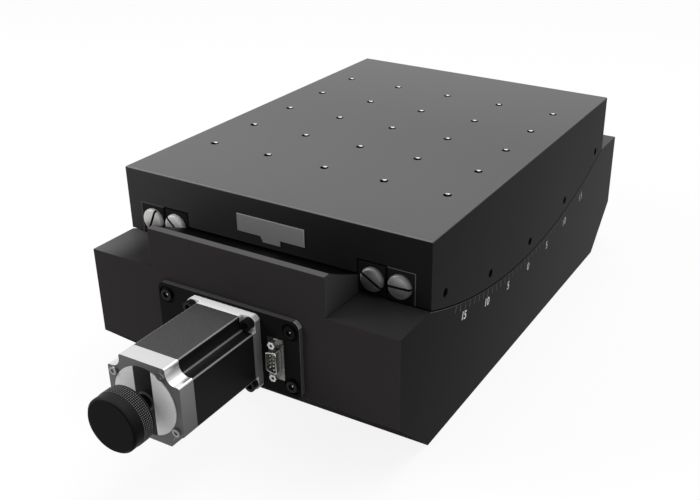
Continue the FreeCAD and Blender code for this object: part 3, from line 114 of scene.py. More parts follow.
class Value:
    """One number socket. Its operators add Math nodes."""

    def __init__(self, finish, socket):
        self.finish = finish
        self.socket = socket

    def maths(self, operation, *others):
        return self.finish.maths(operation, self, *others)

    def __add__(self, other):
        return self.maths("ADD", other)

    __radd__ = __add__

    def __mul__(self, other):
        return self.maths("MULTIPLY", other)

    __rmul__ = __mul__

    def __sub__(self, other):
        return self.maths("SUBTRACT", other)

    def __rsub__(self, other):
        return self.finish.maths("SUBTRACT", other, self)

    def __truediv__(self, other):
        return self.maths("DIVIDE", other)

    def above(self, edge):
        return self.maths("GREATER_THAN", edge)

    def below(self, edge):
        return self.maths("LESS_THAN", edge)

    def between(self, low, high):
        """1 where the value lies between two edges, otherwise 0."""
        return self.above(low) * self.below(high)

    def past(self, edge):
        """How far the value lies past an edge, and 0 before it."""
        return (self - edge).maths("MAXIMUM", 0.0)

    def or_else(self, other):
        """The larger of the two. With masks it is 1 where either is 1."""
        return self.maths("MAXIMUM", other)

    def size(self):
        return self.maths("ABSOLUTE")

    def hypot(self, other):
        """The length whose two upright parts are this value and the other."""
        return (self * self + other * other).maths("SQRT")

    def wave(self, step):
        """A triangle wave from 0 to 1 with the given length."""
        return self.maths("PINGPONG", step / 2) / (step / 2)

    def ramp(self, low, high):
        """0 below low, 1 above high and a smooth slope between them."""
        node = self.finish.add("ShaderNodeMapRange", {"interpolation_type": "SMOOTHSTEP", "clamp": True},
                               Value=self, From_Min=low, From_Max=high)
        return Value(self.finish, node.outputs["Result"])


class Finish:
    """A material under construction, with its Principled shader ready."""

    def __init__(self, name, colour, roughness=0.5, metallic=0.0, **sockets):
        self.base = colour
        self.grain = None
        self.material = bpy.data.materials.new(name)
        self.material.use_nodes = True
        self.tree = self.material.node_tree
        self.shader = self.tree.nodes["Principled BSDF"]
        self.shader.inputs["Base Color"].default_value = (*colour, 1)
        self.shader.inputs["Roughness"].default_value = roughness
        self.shader.inputs["Metallic"].default_value = metallic
        for socket, value in sockets.items():
            self.shader.inputs[socket.replace("_", " ")].default_value = value

    def add(self, kind, settings=None, **inputs):
        """Adds a node: its settings first, then its sockets by name, with _ for a space."""
        node = self.tree.nodes.new(kind)
        for key, value in (settings or {}).items():
            setattr(node, key, value)
        for name, value in inputs.items():
            self.feed(node.inputs[name.replace("_", " ")], value)
        return node

    def feed(self, socket, value):
        if isinstance(value, Value):
            self.tree.links.new(value.socket, socket)
        elif isinstance(value, bpy.types.NodeSocket):
            self.tree.links.new(value, socket)
        else:
            socket.default_value = value

    def maths(self, operation, *values):
        node = self.add("ShaderNodeMath", {"operation": operation})
        for socket, value in zip(node.inputs, values):
            self.feed(socket, value)
        return Value(self, node.outputs[0])

    def place(self):
        """Object coordinates as a vector socket."""
        return self.add("ShaderNodeTexCoord").outputs["Object"]

    def axes(self):
        node = self.add("ShaderNodeSeparateXYZ", Vector=self.place())
        return [Value(self, node.outputs[k]) for k in range(3)]

    def noise(self, scale, detail=3.0, stretch=(1, 1, 1)):
        """Noise from 0 to 1. The scale is in grains per metre, the stretch per axis."""
        mapping = self.add("ShaderNodeMapping", Vector=self.place(), Scale=stretch)
        node = self.add("ShaderNodeTexNoise", Vector=mapping.outputs[0], Scale=scale, Detail=detail)
        return Value(self, node.outputs[0])

    def mix(self, factor, first, second):
        """A colour between two colours."""
        node = self.add("ShaderNodeMix", {"data_type": "RGBA"}, Factor=factor)
        self.feed(node.inputs[6], (*first, 1) if isinstance(first, tuple) else first)
        self.feed(node.inputs[7], (*second, 1) if isinstance(second, tuple) else second)
        return node.outputs[2]

    def colour(self, socket):
        self.base = socket
        self.feed(self.shader.inputs["Base Color"], socket)

    def paint(self, mask, colour):
        """Lays another colour over the present one, as far as the mask says."""
        self.colour(self.mix(mask, self.base, colour))

    def roughness(self, value):
        self.feed(self.shader.inputs["Roughness"], value)

    def metallic(self, value):
        self.feed(self.shader.inputs["Metallic"], value)

    def coat(self, value):
        self.feed(self.shader.inputs["Coat Weight"], value)

    def bump(self, height, distance):
        node = self.add("ShaderNodeBump", Height=height, Distance=distance, Strength=1.0)
        self.feed(self.shader.inputs["Normal"], node.outputs[0])


def wear(node, finish):
    """Gives a CAD node its finish, in every material slot."""
    mesh = NODES[node].data
    for k in range(len(mesh.materials)):
        mesh.materials[k] = finish.material
    if not mesh.materials:
        mesh.materials.append(finish.material)


# %% [markdown]
# The floor is white and so is the background. A camera ray or a glossy ray that
# misses everything sees plain white, while soft light comes from a dimmer grey
# world and two large lamps. The floor still takes the shadow of the stage.

# %% World and floor
WORLD_FILL = 0.42
FLOOR_HALF = 6.0
FLOOR_DROP = 0.0002
FLOOR_GLOW = 0.88
STAGE_MIDDLE = (0, 0, 0.1)
LAMPS = (
    ("left_window", (-1.3, -1.0, 1.0), 1.0, 22),
    ("high_box", (0.3, 0.4, 1.9), 1.4, 26),
)


def light_path_is_seen(tree):
    """1 for camera, glossy and transmission rays, and 0 for the rays that light things."""
    path = tree.nodes.new("ShaderNodeLightPath")
    total = path.outputs["Is Camera Ray"]
    for name in ("Is Glossy Ray", "Is Transmission Ray"):
        node = tree.nodes.new("ShaderNodeMath")
        node.operation = "MAXIMUM"
        tree.links.new(total, node.inputs[0])
        tree.links.new(path.outputs[name], node.inputs[1])
        total = node.outputs[0]
    return total


def add_world():
    world = bpy.data.worlds.new("studio")
    bpy.context.scene.world = world
    world.use_nodes = True
    tree = world.node_tree
    background = tree.nodes["Background"]
    background.inputs["Color"].default_value = (1, 1, 1, 1)
    strength = tree.nodes.new("ShaderNodeMapRange")
    tree.links.new(light_path_is_seen(tree), strength.inputs["Value"])
    strength.inputs["To Min"].default_value = WORLD_FILL
    strength.inputs["To Max"].default_value = 1.0
    tree.links.new(strength.outputs[0], background.inputs["Strength"])


def add_floor():
    bpy.ops.object.select_all(action="DESELECT")
    bpy.ops.mesh.primitive_plane_add(size=2 * FLOOR_HALF, location=(0, 0, -FLOOR_DROP))
    floor = bpy.context.object
    floor.name = "floor"
    finish = Finish("floor_white", grey(0.86), 0.7)
    glow = finish.add("ShaderNodeEmission", Color=(1, 1, 1, 1))
    blend = finish.add("ShaderNodeMixShader")
    share = Value(finish, light_path_is_seen(finish.tree)) * FLOOR_GLOW
    for socket, value in zip(blend.inputs, (share, finish.shader.outputs[0], glow.outputs[0])):
        finish.feed(socket, value)
    finish.feed(finish.tree.nodes["Material Output"].inputs["Surface"], blend.outputs[0])
    floor.data.materials.append(finish.material)
    return floor


def add_lamp(name, place, size, power):
    """A square lamp at a place, with its width in metres and its watts, aimed at the stage."""
    data = bpy.data.lights.new(name, "AREA")
    data.shape = "SQUARE"
    data.size = size
    data.energy = power
    lamp = bpy.data.objects.new(name, data)
    bpy.context.scene.collection.objects.link(lamp)
    way = Vector(STAGE_MIDDLE) - Vector(place)
    lamp.matrix_world = Matrix.Translation(place) @ way.to_track_quat("-Z", "Y").to_matrix().to_4x4()
    return lamp


scene = bpy.context.scene
scene.view_settings.view_transform = "Standard"
add_world()
add_floor()
for lamp in LAMPS:
    add_lamp(*lamp)
print("floor and", len(LAMPS), "lamps set")

# %% [markdown]
# Black anodised aluminium is nearly black and slightly warm. Its pores make a
# very fine even grain, and large machined faces carry faint broad differences
# in gloss. The top faces mirror the bright room softly, and the upright faces
# hardly do, so the shader's specular level is low and a coat lies on the top
# faces alone.

# %% Black anodised finish
HAIR = 0.0001
FACE = 0.0002
table_low, table_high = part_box("table_block")
base_low, base_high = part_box("base_block")
print("table top", round(table_high[2], 4), "base side", round(base_high[0], 4))


def anodised(name, colour, roughness):
    """A finish that varies broadly over a face and finely from pore to pore."""
    finish = Finish(name, colour, roughness, Specular_IOR_Level=0.012, Coat_Roughness=0.3)
    broad = finish.noise(9.0, 2.0)
    fine = finish.noise(2600.0, 2.0)
    lighter = tuple(c * 1.35 for c in colour)
    finish.colour(finish.mix(broad * 0.6 + fine * 0.4, colour, lighter))
    finish.roughness(broad * 0.07 + fine * 0.08 + (roughness - 0.07))
    finish.bump(fine, FINE_DEPTH)
    return finish


# %% [markdown]
# On the table, light and shade are painted into the colour: the top is painted
# lighter towards its front edge, and the front face towards the left. Each tapped
# hole has a painted highlight on the wall that faces the lens, and thin painted
# highlights run along the sharp edges and round the pockets in which the rails
# end. Each of these is a mask on the place in the block.

# %% Table block
HOLE_STEP = 0.05
HOLE_R = 0.0025
HOLE_CATCH = 0.00075
FAR_WALL_WAY = (-0.34, 0.94)
FAR_WALL_SHARE = 0.96
HOLE_GLINT_DEPTH = 0.001
TOP_DARK_Y = 0.05
TOP_LIGHT_Y = -0.17
FRONT_DARK_INSET = 0.02
EDGE_LINE = 0.0007
POCKET_LINE = 0.0006
BLOCK_BLACK = anodised("block_black", (0.0075, 0.0073, 0.0073), 0.34)
x, y, z = BLOCK_BLACK.axes()
block_top = z.above(table_high[2] - HAIR)
block_front = y.size().above(table_high[1] - FACE)
# painted light: the table's front face is painted lighter towards the left
to_the_left = 1 - x.ramp(table_low[0], table_high[0] - FRONT_DARK_INSET)
BLOCK_BLACK.paint(block_front * to_the_left, (0.034, 0.033, 0.033))
# painted light: the top is painted lighter towards its front edge
to_the_front = (0 - y).ramp(-TOP_DARK_Y, -TOP_LIGHT_Y)
BLOCK_BLACK.paint(block_top, BLOCK_BLACK.mix(to_the_front, (0.018, 0.0175, 0.0175), (0.048, 0.047, 0.047)))

# painted highlight: a near white spot on the upper far wall of each tapped hole
hole_x = x.maths("WRAP", HOLE_STEP / 2, -HOLE_STEP / 2)
hole_y = y.maths("WRAP", HOLE_STEP / 2, -HOLE_STEP / 2)
in_hole = hole_x.hypot(hole_y).below(HOLE_R + HOLE_CATCH)
far_wall = (hole_y * FAR_WALL_WAY[1] + hole_x * FAR_WALL_WAY[0]).above(HOLE_R * FAR_WALL_SHARE)
near_top = z.between(table_high[2] - HOLE_GLINT_DEPTH, table_high[2] - HAIR)
BLOCK_BLACK.paint(in_hole * far_wall * near_top, grey(0.95))

# painted highlights: thin light lines along the edges of the table's top
upper_line = z.above(table_high[2] - EDGE_LINE)
BLOCK_BLACK.paint(y.size().above(table_high[1] - EDGE_LINE) * upper_line, grey(0.15))
BLOCK_BLACK.paint(x.size().above(table_high[0] - EDGE_LINE) * upper_line, grey(0.12))

# painted highlights: thin light lines round the pockets in which the rails end
rail_low, rail_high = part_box("outer_rail_right")
side = x.size()
pocket_side = side.between(rail_high[0], rail_high[0] + POCKET_LINE)
pocket_side = pocket_side * z.below(rail_high[2] + POCKET_LINE)
pocket_roof = z.between(rail_high[2], rail_high[2] + POCKET_LINE)
pocket_roof = pocket_roof * side.between(rail_low[0], rail_high[0] + POCKET_LINE)
BLOCK_BLACK.paint(pocket_side.or_else(pocket_roof) * block_front, grey(0.075))
BLOCK_BLACK.coat(block_top * 0.80)
wear("table_block", BLOCK_BLACK)

# %% [markdown]
# The base's faces are painted in greys of their own for how the light falls on
# them: a lighter front with a warm tint, sides lighter towards the back, the two
# wings, which lie lower than the rib, the rib's light top, its lighter sides and
# dark slopes, and the chamfers below painted near black as shade. A thin painted
# highlight follows the edge of the seat round the tilt axis.

# %% Base block
RIB_HALF = 0.071
WING_Z = 0.10527
CHAMFER_Z = 0.0385
SEAT_RADIUS = 0.451
SEAT_LINE = 0.0005
WING_BAND = 0.0003
WING_DARK_WIDTH = 0.02
SIDE_GREY = (0.022, 0.0215, 0.0215)
tilt = next(joint for joint in frame["joints"] if joint["name"] == "table_tilt")
TILT_AXIS_Z = tilt["pos_m"][2]
BASE_BLACK = anodised("base_black", (0.0055, 0.0052, 0.0051), 0.40)
x, y, z = BASE_BLACK.axes()
base_front = y.size().above(base_high[1] - FACE)
base_side = x.size().above(base_high[0] - FACE)
inner = 1 - base_front.or_else(base_side)
# painted light: the front is painted a lighter grey with a warm tint, and the sides lighter towards the back
BASE_BLACK.paint(base_front, (0.024, 0.0215, 0.022))
BASE_BLACK.paint(base_side * y.ramp(base_low[1], base_high[1]), SIDE_GREY)
# painted shade: the chamfers and faces below are painted near black
under = z.below(CHAMFER_Z - HAIR) * inner
BASE_BLACK.paint(under, grey(0.001))
BASE_BLACK.roughness(under * 0.5 + 0.38)

# painted light on the wing tops: the left wing lighter towards its end, the right wing in the sides' grey
# and the part behind the table lighter
wing_top = z.between(WING_Z - WING_BAND, WING_Z + WING_BAND) * inner
wing_end = (0 - x).ramp(RIB_HALF + WING_DARK_WIDTH, -base_low[0])
wing_light = BASE_BLACK.mix(wing_end, (0.020, 0.0195, 0.0195), (0.105, 0.103, 0.104))
BASE_BLACK.paint(x.below(-RIB_HALF) * wing_top, wing_light)
BASE_BLACK.paint(x.above(RIB_HALF + FACE) * wing_top, SIDE_GREY)
BASE_BLACK.paint(wing_top * y.above(table_high[1]), grey(0.10))

# painted light and shade on the rib: a light top, lighter sides and near black slopes
rib_top = z.above(base_high[2] - HAIR)
rib_side = x.between(RIB_HALF - FACE, RIB_HALF + FACE) * z.above(WING_Z + HAIR)
rib_slope = z.between(WING_Z + HAIR, base_high[2] - HAIR) * x.size().below(RIB_HALF - FACE)
BASE_BLACK.paint(rib_top, (0.085, 0.084, 0.084))
BASE_BLACK.paint(rib_side * inner, (0.05, 0.048, 0.049))
BASE_BLACK.paint(rib_slope * inner, grey(0.002))

# painted highlight: a thin light line along the edge of the seat, dimmer towards the back
seat_way = y.hypot(z - TILT_AXIS_Z)
seat_edge = seat_way.between(SEAT_RADIUS, SEAT_RADIUS + SEAT_LINE) * base_side
BASE_BLACK.paint(seat_edge, BASE_BLACK.mix(y.ramp(base_low[1], 0.0), grey(0.08), grey(0.03)))
wear("base_block", BASE_BLACK)

# %% [markdown]
# The plate that carries the motor has round corners. A painted highlight runs
# round its upper and right edges as the rim of a rounded rectangle: where a point
# lies past the start of the corner both ways, its distance from the corner's
# centre counts. The turn of the upper right corner is painted brightest.

# %% Motor plate and other plates
PLATE_CORNER = 0.006
PLATE_LINE = 0.0005
TURN_START = PLATE_CORNER / 4
plate_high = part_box("motor_plate")[1]
PLATE_BLACK = anodised("plate_black", (0.0065, 0.0062, 0.0062), 0.42)
x, y, z = PLATE_BLACK.axes()
# painted highlight: a light line round the plate's upper and right edges, brightest at the upper right
# corner
past_side = x.past(plate_high[0] - PLATE_CORNER)
past_top = z.past(plate_high[2] - PLATE_CORNER)
plate_edge = past_side.hypot(past_top).above(PLATE_CORNER - PLATE_LINE)
plate_turn = plate_edge * past_side.above(TURN_START) * past_top.above(TURN_START)
PLATE_BLACK.paint(plate_edge, grey(0.06))
PLATE_BLACK.paint(plate_turn, grey(0.26))
for name in ("motor_plate", "bottom_cover", "bearing_block_front", "bearing_block_rear"):
    wear(name, PLATE_BLACK)

# %% [markdown]
# Steel comes as blackened ground rails, black oxide screws, worn grey screws and
# bright turned screws. Ground and turned faces have fine parallel scratches,
# which stretched noise gives. Most small parts need no more than one grain that
# drives both colour and roughness, so one helper makes such a finish. The four
# screws of the motor plate also have a small glint on the floor of their sockets.

# %% Rails and screws
PLATE_HEAD_R = 0.00425
SOCKET_GLINT_R = 0.0006


def grained(name, dark, light, scale, roughness, metallic=0.0, detail=3.0, stretch=(1, 1, 1), **sockets):
    """A finish with one grain from dark to light. Roughness is its lowest value and its spread."""
    low, spread = roughness
    finish = Finish(name, light, low, metallic, **sockets)
    finish.grain = finish.noise(scale, detail, stretch)
    finish.colour(finish.mix(finish.grain, dark, light))
    if spread:
        finish.roughness(finish.grain * spread + low)
    return finish


RAIL_STEEL = grained("rail_steel", (0.035, 0.034, 0.034), (0.07, 0.068, 0.066), 900.0, (0.28, 0.16),
                     detail=2.0, stretch=(1.0, 0.06, 1.0), Specular_IOR_Level=0.04)
rail_end = RAIL_STEEL.axes()[1].size().above(table_high[1] - FACE)
RAIL_STEEL.paint(rail_end, (0.0075, 0.0073, 0.0073))
RAIL_STEEL.metallic((1 - rail_end) * 0.6)
RAIL_STEEL.bump(RAIL_STEEL.grain, FINE_DEPTH)
for name in ("inner_rail_left", "inner_rail_right", "outer_rail_left", "outer_rail_right"):
    wear(name, RAIL_STEEL)

SCREW_BLACK = grained("screw_black", grey(0.006), grey(0.015), 1800.0, (0.26, 0.2), 0.1,
                      Specular_IOR_Level=0.1)
for name in ("inner_rail_screws", "outer_rail_screws", "motor_mount_screws",
             "bearing_block_screws", "arc_rack_screws", "lock_nut", "knob_set_screw"):
    wear(name, SCREW_BLACK)

PLATE_SCREW = grained("plate_screw_black", grey(0.004), grey(0.010), 1800.0, (0.26, 0.2), 0.1,
                      Specular_IOR_Level=0.1)
screws_low, screws_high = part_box("motor_plate_screws")
x, y, z = PLATE_SCREW.axes()


def from_screw(value, axis):
    """How far a point lies from the nearer of the two screw axes, along X or Z."""
    middle = (screws_low[axis] + screws_high[axis]) / 2
    half_spacing = (screws_high[axis] - screws_low[axis]) / 2 - PLATE_HEAD_R
    return (value - middle).size() - half_spacing


# painted highlight: a small near white glint on the floor of each socket
from_axis = from_screw(x, 0).hypot(from_screw(z, 2))
PLATE_SCREW.paint(from_axis.below(SOCKET_GLINT_R), grey(0.70))
wear("motor_plate_screws", PLATE_SCREW)

SCREW_GREY = grained("screw_grey", grey(0.16), grey(0.38), 900.0, (0.28, 0.15), 0.9, detail=2.0)
wear("motor_tie_screws", SCREW_GREY)

SCREW_BRIGHT = Finish("screw_bright", (0.62, 0.61, 0.59), 0.3, 1.0)
turned = SCREW_BRIGHT.noise(1500.0, 3.0, (1.0, 1.0, 0.15))
blotch = SCREW_BRIGHT.noise(160.0, 2.0)
SCREW_BRIGHT.colour(SCREW_BRIGHT.mix(turned * 0.5 + blotch * 0.5, (0.40, 0.39, 0.37), (0.78, 0.77, 0.74)))
SCREW_BRIGHT.roughness(turned * 0.2 + 0.22)
SCREW_BRIGHT.bump(turned, SATIN_DEPTH)
wear("cover_screws", SCREW_BRIGHT)

# %% [markdown]
# The motor's flange and rear cap are die cast and then machined, so they are
# pale with a fine satin grain. Light and shade are painted on them: the faces
# that look away from the light, and the cap's lower half, are painted a duller
# grey as shade, and the flange's top is painted near white as a highlight. The
# hubs of the coupling are turned from the same metal.

# %% Motor castings
flange_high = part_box("motor_flange")[1]
cap_low, cap_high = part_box("motor_rear_cap")
MOTOR_X = (cap_low[0] + cap_high[0]) / 2
MOTOR_Z = (cap_low[2] + cap_high[2]) / 2
MOTOR_HALF = (cap_high[0] - cap_low[0]) / 2


def satin_metal(name, dark, light, metallic):
    finish = Finish(name, dark, 0.32, metallic, Specular_IOR_Level=0.2)
    satin = finish.noise(2200.0, 3.0)
    finish.colour(finish.mix(satin, dark, light))
    finish.roughness(satin * 0.14 + 0.28)
    finish.bump(satin, SATIN_DEPTH)
    return finish


SILVER = satin_metal("silver_cast", grey(0.70), grey(0.88), 1.0)
wear("coupling_motor_hub", SILVER)
wear("coupling_worm_hub", SILVER)

CAP_SILVER = satin_metal("cap_silver", grey(0.62), grey(0.78), 1.0)
x, y, z = CAP_SILVER.axes()
cap_end = y.below(cap_low[1] + HAIR)
cap_side = x.above(cap_high[0] - HAIR)
# painted shade: the cap's lower half, its right side, lighter upwards, and its end face are painted dull
# greys, and the side and end are made not metallic
CAP_SILVER.paint(z.below(MOTOR_Z), grey(0.10))
CAP_SILVER.paint(cap_side, CAP_SILVER.mix(z.ramp(cap_low[2], cap_high[2]), grey(0.085), grey(0.20)))
CAP_SILVER.paint(cap_end, grey(0.095))
CAP_SILVER.metallic(1 - cap_end.or_else(cap_side))
wear("motor_rear_cap", CAP_SILVER)

FLANGE_SILVER = satin_metal("flange_silver", grey(0.60), grey(0.72), 0.0)
x, y, z = FLANGE_SILVER.axes()
# painted shade on the flange's right side and a near white painted highlight on its top
FLANGE_SILVER.paint(x.above(flange_high[0] - HAIR), grey(0.16))
FLANGE_SILVER.paint(z.above(flange_high[2] - FACE), grey(0.95))
wear("motor_flange", FLANGE_SILVER)

# %% [markdown]
# The motor's body is a stack of black painted sheets: thin rings across the
# motor, seen as very fine lines in the bump. Its top face is painted lighter as
# painted light, and painted highlights run along the lips of the four corner
# grooves and down the inside of each groove.

# %% Motor body
SHEET_STEP = 0.0008
GROOVE_EDGE = 0.0182
LIP_WIDTH = 0.0012
LIP_DEPTH = 0.0007
GROOVE_LINE = (0.0004, 0.0022)
CORE_BLACK = Finish("core_black", grey(0.012), 0.34, Specular_IOR_Level=0.03)
x, y, z = CORE_BLACK.axes()
sheets = y.wave(SHEET_STEP)
paint = CORE_BLACK.noise(700.0, 3.0)
from_x = (x - MOTOR_X).size()
from_z = (z - MOTOR_Z).size()
far = from_x.or_else(from_z)
near = from_x.maths("MINIMUM", from_z)
lip_shine = far.above(MOTOR_HALF - LIP_DEPTH) * near.between(GROOVE_EDGE - LIP_WIDTH, GROOVE_EDGE)
groove_shine = (from_x - from_z).between(*GROOVE_LINE) * near.above(GROOVE_EDGE)
CORE_BLACK.colour(CORE_BLACK.mix(paint, grey(0.007), grey(0.013)))
# painted light on the body's top face, and painted highlights along the groove lips and inside the grooves
CORE_BLACK.paint(z.above(cap_high[2] - HAIR), CORE_BLACK.mix(paint, grey(0.045), grey(0.075)))
CORE_BLACK.paint(groove_shine, grey(0.16))
CORE_BLACK.paint(lip_shine, grey(0.26))
CORE_BLACK.roughness(paint * 0.12 + 0.27)
CORE_BLACK.bump(sheets * 0.7 + paint * 0.3, PAINT_DEPTH)
wear("motor_body", CORE_BLACK)

# %% [markdown]
# The round foil on the motor's rear end has a dark band down the middle and
# pale grey segments at its sides.

# %% Motor foil
BAND_HALF = 0.007
foil_low, foil_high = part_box("motor_label")
FOIL_X = (foil_low[0] + foil_high[0]) / 2
FOIL = grained("foil", grey(0.54), grey(0.66), 1200.0, (0.35, 0.15), detail=2.0, Specular_IOR_Level=0.1)
FOIL.paint((FOIL.axes()[0] - FOIL_X).size().below(BAND_HALF), grey(0.008))
wear("motor_label", FOIL)

# %% [markdown]
# The knob is turned and smooth, with a band of knurling on the rear half of its
# grip. Here it gets its finish, and the knurled band is modelled further down.
# The grip is painted lighter towards its top as painted light, and on the
# knurling the tips are painted light grey as painted highlights.

# %% Knob
KNURL_HEIGHT = 0.0004
GRIP_DEPTH = 0.0009
knob_low, knob_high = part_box("knob")
KNOB_X = (knob_low[0] + knob_high[0]) / 2
KNOB_Z = (knob_low[2] + knob_high[2]) / 2
KNOB_R = (knob_high[0] - knob_low[0]) / 2


def knob_finish(name):
    """The black finish and the distance from the knob's axis."""
    finish = Finish(name, grey(0.014), 0.42, Specular_IOR_Level=0.02)
    x, y, z = finish.axes()
    return finish, (x - KNOB_X).hypot(z - KNOB_Z)


KNOB_FINISH, knob_way = knob_finish("turned_black")
# painted light: the knob's grip is painted lighter towards its top
grip = knob_way.above(KNOB_R - GRIP_DEPTH)
upwards = KNOB_FINISH.axes()[2].ramp(KNOB_Z, KNOB_Z + KNOB_R)
KNOB_FINISH.colour(KNOB_FINISH.mix(grip * upwards, grey(0.003), grey(0.022)))
KNOB_FINISH.paint(KNOB_FINISH.noise(1500.0, 2.0) * 0.3, grey(0.012))
wear("knob", KNOB_FINISH)

KNURL_FINISH, knurl_way = knob_finish("knurled_black")
# painted highlight: the knurl's tips are painted light grey
knurl_tip = knurl_way.ramp(KNOB_R + KNURL_HEIGHT * 0.25, KNOB_R + KNURL_HEIGHT)
KNURL_FINISH.colour(KNURL_FINISH.mix(knurl_tip, grey(0.006), grey(0.30)))

# %% [markdown]
# The plate on the table's front is plain brushed metal, grey, and its upper and
# right edges are painted lighter as painted highlights.

# %% Nameplate
NAME_LINE = 0.0004
name_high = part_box("nameplate")[1]
GREY_PLATE = grained("grey_plate", grey(0.175), grey(0.21), 1500.0, (0.38, 0.15), stretch=(0.1, 1.0, 1.0))
x, y, z = GREY_PLATE.axes()
# painted highlights along the nameplate's upper and right edges
name_edge = z.above(name_high[2] - NAME_LINE).or_else(x.above(name_high[0] - NAME_LINE))
GREY_PLATE.paint(name_edge, grey(0.34))
wear("nameplate", GREY_PLATE)

# %% [markdown]
# The connector has a nickel shell whose upper front rim is painted near white as
# a painted highlight, two bright jackscrews whose front ends are painted pale and
# not metallic as painted highlights, pale gilt pins and a dark insulator behind
# them.

# %% Connector
SHELL_FLANGE = 0.0015
SHELL_RIM = 0.0004
RIM_SHINES_ABOVE = 0.006
shell_low, shell_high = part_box("connector_shell")
jack_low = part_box("connector_jackscrews")[0]
NICKEL = grained("nickel", (0.34, 0.34, 0.33), (0.62, 0.61, 0.59), 900.0, (0.2, 0.16), 0.9)
x, y, z = NICKEL.axes()
NICKEL.paint(y.above(shell_high[1] - SHELL_FLANGE), grey(0.17))
# painted highlight: the shell's upper front rim is painted near white and not metallic
upper_part = z.above((shell_low[2] + shell_high[2]) / 2 + RIM_SHINES_ABOVE)
shell_rim = y.below(shell_low[1] + SHELL_RIM) * upper_part
NICKEL.paint(shell_rim, grey(0.95))
NICKEL.metallic(0.9 - shell_rim * 0.9)
wear("connector_shell", NICKEL)

JACK_BRIGHT = grained("jack_bright", (0.40, 0.39, 0.37), (0.78, 0.77, 0.74), 1500.0, (0.3, 0), 1.0)
# painted highlight: the jackscrews' front ends are painted pale and not metallic
jack_front = JACK_BRIGHT.axes()[1].below(jack_low[1] + FACE)
JACK_BRIGHT.paint(jack_front, grey(0.80))
JACK_BRIGHT.metallic(1 - jack_front)
wear("connector_jackscrews", JACK_BRIGHT)

GILT = grained("gilt", (0.74, 0.70, 0.60), (0.88, 0.84, 0.74), 2500.0, (0.25, 0), 0.5, detail=2.0)
wear("connector_pins", GILT)

INSULATOR = grained("insulator_grey", grey(0.05), grey(0.075), 1400.0, (0.5, 0), detail=2.0,
                    Specular_IOR_Level=0.2)
wear("connector_insulator", INSULATOR)

# %% [markdown]
# The parts inside the base are hidden at rest, and some of them show when the
# table tilts. Each gets its own material: moulded sensors, bearing steel, bronze
# for the rack and the roller cages, and an elastic spider in the coupling.

# %% Parts inside
MOULDED = grained("moulded_black", (0.012, 0.012, 0.013), (0.024, 0.024, 0.025), 1400.0, (0.55, 0),
                  detail=2.0)
MOULDED.bump(MOULDED.grain, FINE_DEPTH)
for name in ("limit_sensor_front", "limit_sensor_rear"):
    wear(name, MOULDED)

BEARING = grained("bearing_steel", (0.60, 0.60, 0.59), (0.78, 0.78, 0.77), 1200.0, (0.14, 0.12), 1.0,
                  detail=2.0, stretch=(1.0, 0.1, 1.0))
for name in ("bearing_outer_rings", "bearing_inner_rings", "rollers_left", "rollers_right",
             "trip_magnet", "worm_shaft", "motor_rotor"):
    wear(name, BEARING)

BRONZE = grained("bronze", (0.44, 0.27, 0.11), (0.64, 0.43, 0.20), 700.0, (0.26, 0.16), 1.0)
for name in ("arc_rack", "roller_cage_left", "roller_cage_right"):
    wear(name, BRONZE)

ELASTIC = grained("elastic_red", (0.25, 0.02, 0.015), (0.36, 0.04, 0.03), 500.0, (0.5, 0), detail=2.0)
wear("coupling_spider", ELASTIC)

# %% [markdown]
# The degree scale is cut into the right side of the base along the seat's arc
# and filled with pale paint. Each mark is modelled once as a thin bar at the
# lowest point of the arc and copied round the tilt axis.

# %% Degree scale
AXIS = Vector(tilt["pos_m"])
SIDE_X = base_high[0]
MARK_START = SEAT_RADIUS + 0.0011
LONG_MARK = 0.0078
SHORT_MARK = 0.0048
MARK_WIDTH = 0.00035
MARK_PROUD = 0.00005
SCALE_REACH = 17
LONG_MARK_EVERY = 5
NUMBERED = (-15, -10, -5, 0, 5, 10, 15)
NUMBER_RADIUS = 0.4618
NUMBER_HEIGHT = 0.0062
DIGIT_SHARE = 0.7
DIGIT_STEPS = 4
NUMBER_BOLD = 0.00012
WELD = 0.000002


def scale_paint(name, near, far):
    """Pale paint that is lighter at the front of the base than at its back."""
    finish = Finish(name, near, 0.6, Specular_IOR_Level=0.1)
    paint_grain = finish.noise(1500.0, 2.0)
    front_to_back = finish.mix(finish.axes()[1].ramp(base_low[1], base_high[1]), near, far)
    dusty = tuple(c * 0.7 for c in near)
    finish.colour(finish.mix(paint_grain * 0.3, front_to_back, dusty))
    return finish


MARK_PAINT = scale_paint("mark_paint", grey(0.20), grey(0.05))
NUMBER_PAINT = scale_paint("number_paint", grey(0.85), grey(0.16))


def clear_selection():
    bpy.ops.object.select_all(action="DESELECT")


def settle(piece, name, body, finish=None):
    """Applies the piece's place to its mesh, names it and lets it ride on a body."""
    clear_selection()
    piece.select_set(True)
    bpy.context.view_layer.objects.active = piece
    bpy.ops.object.transform_apply(location=True, rotation=True, scale=True)
    piece.name = name
    if finish:
        piece.data.materials.clear()
        piece.data.materials.append(finish.material)
    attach(piece, body)
    return piece


def add_bar(length):
    """A thin bar below the axis on the base's side, with its back face inside the block."""
    clear_selection()
    middle = Vector((SIDE_X, AXIS.y, AXIS.z - MARK_START - length / 2))
    bpy.ops.mesh.primitive_cube_add(size=1, location=middle, scale=(2 * MARK_PROUD, MARK_WIDTH, length))
    bpy.ops.object.transform_apply(location=True, rotation=True, scale=True)
    return bpy.context.object


def round_axis(degrees):
    """The turn about the tilt axis that brings a piece from the arc's lowest point to its mark."""
    spin = Matrix.Rotation(math.radians(degrees), 4, "X")
    return Matrix.Translation(AXIS) @ spin @ Matrix.Translation(-AXIS)


def turned_copy(piece, degrees):
    copy = piece.copy()
    copy.data = piece.data.copy()
    copy.data.transform(round_axis(degrees))
    bpy.context.scene.collection.objects.link(copy)
    return copy


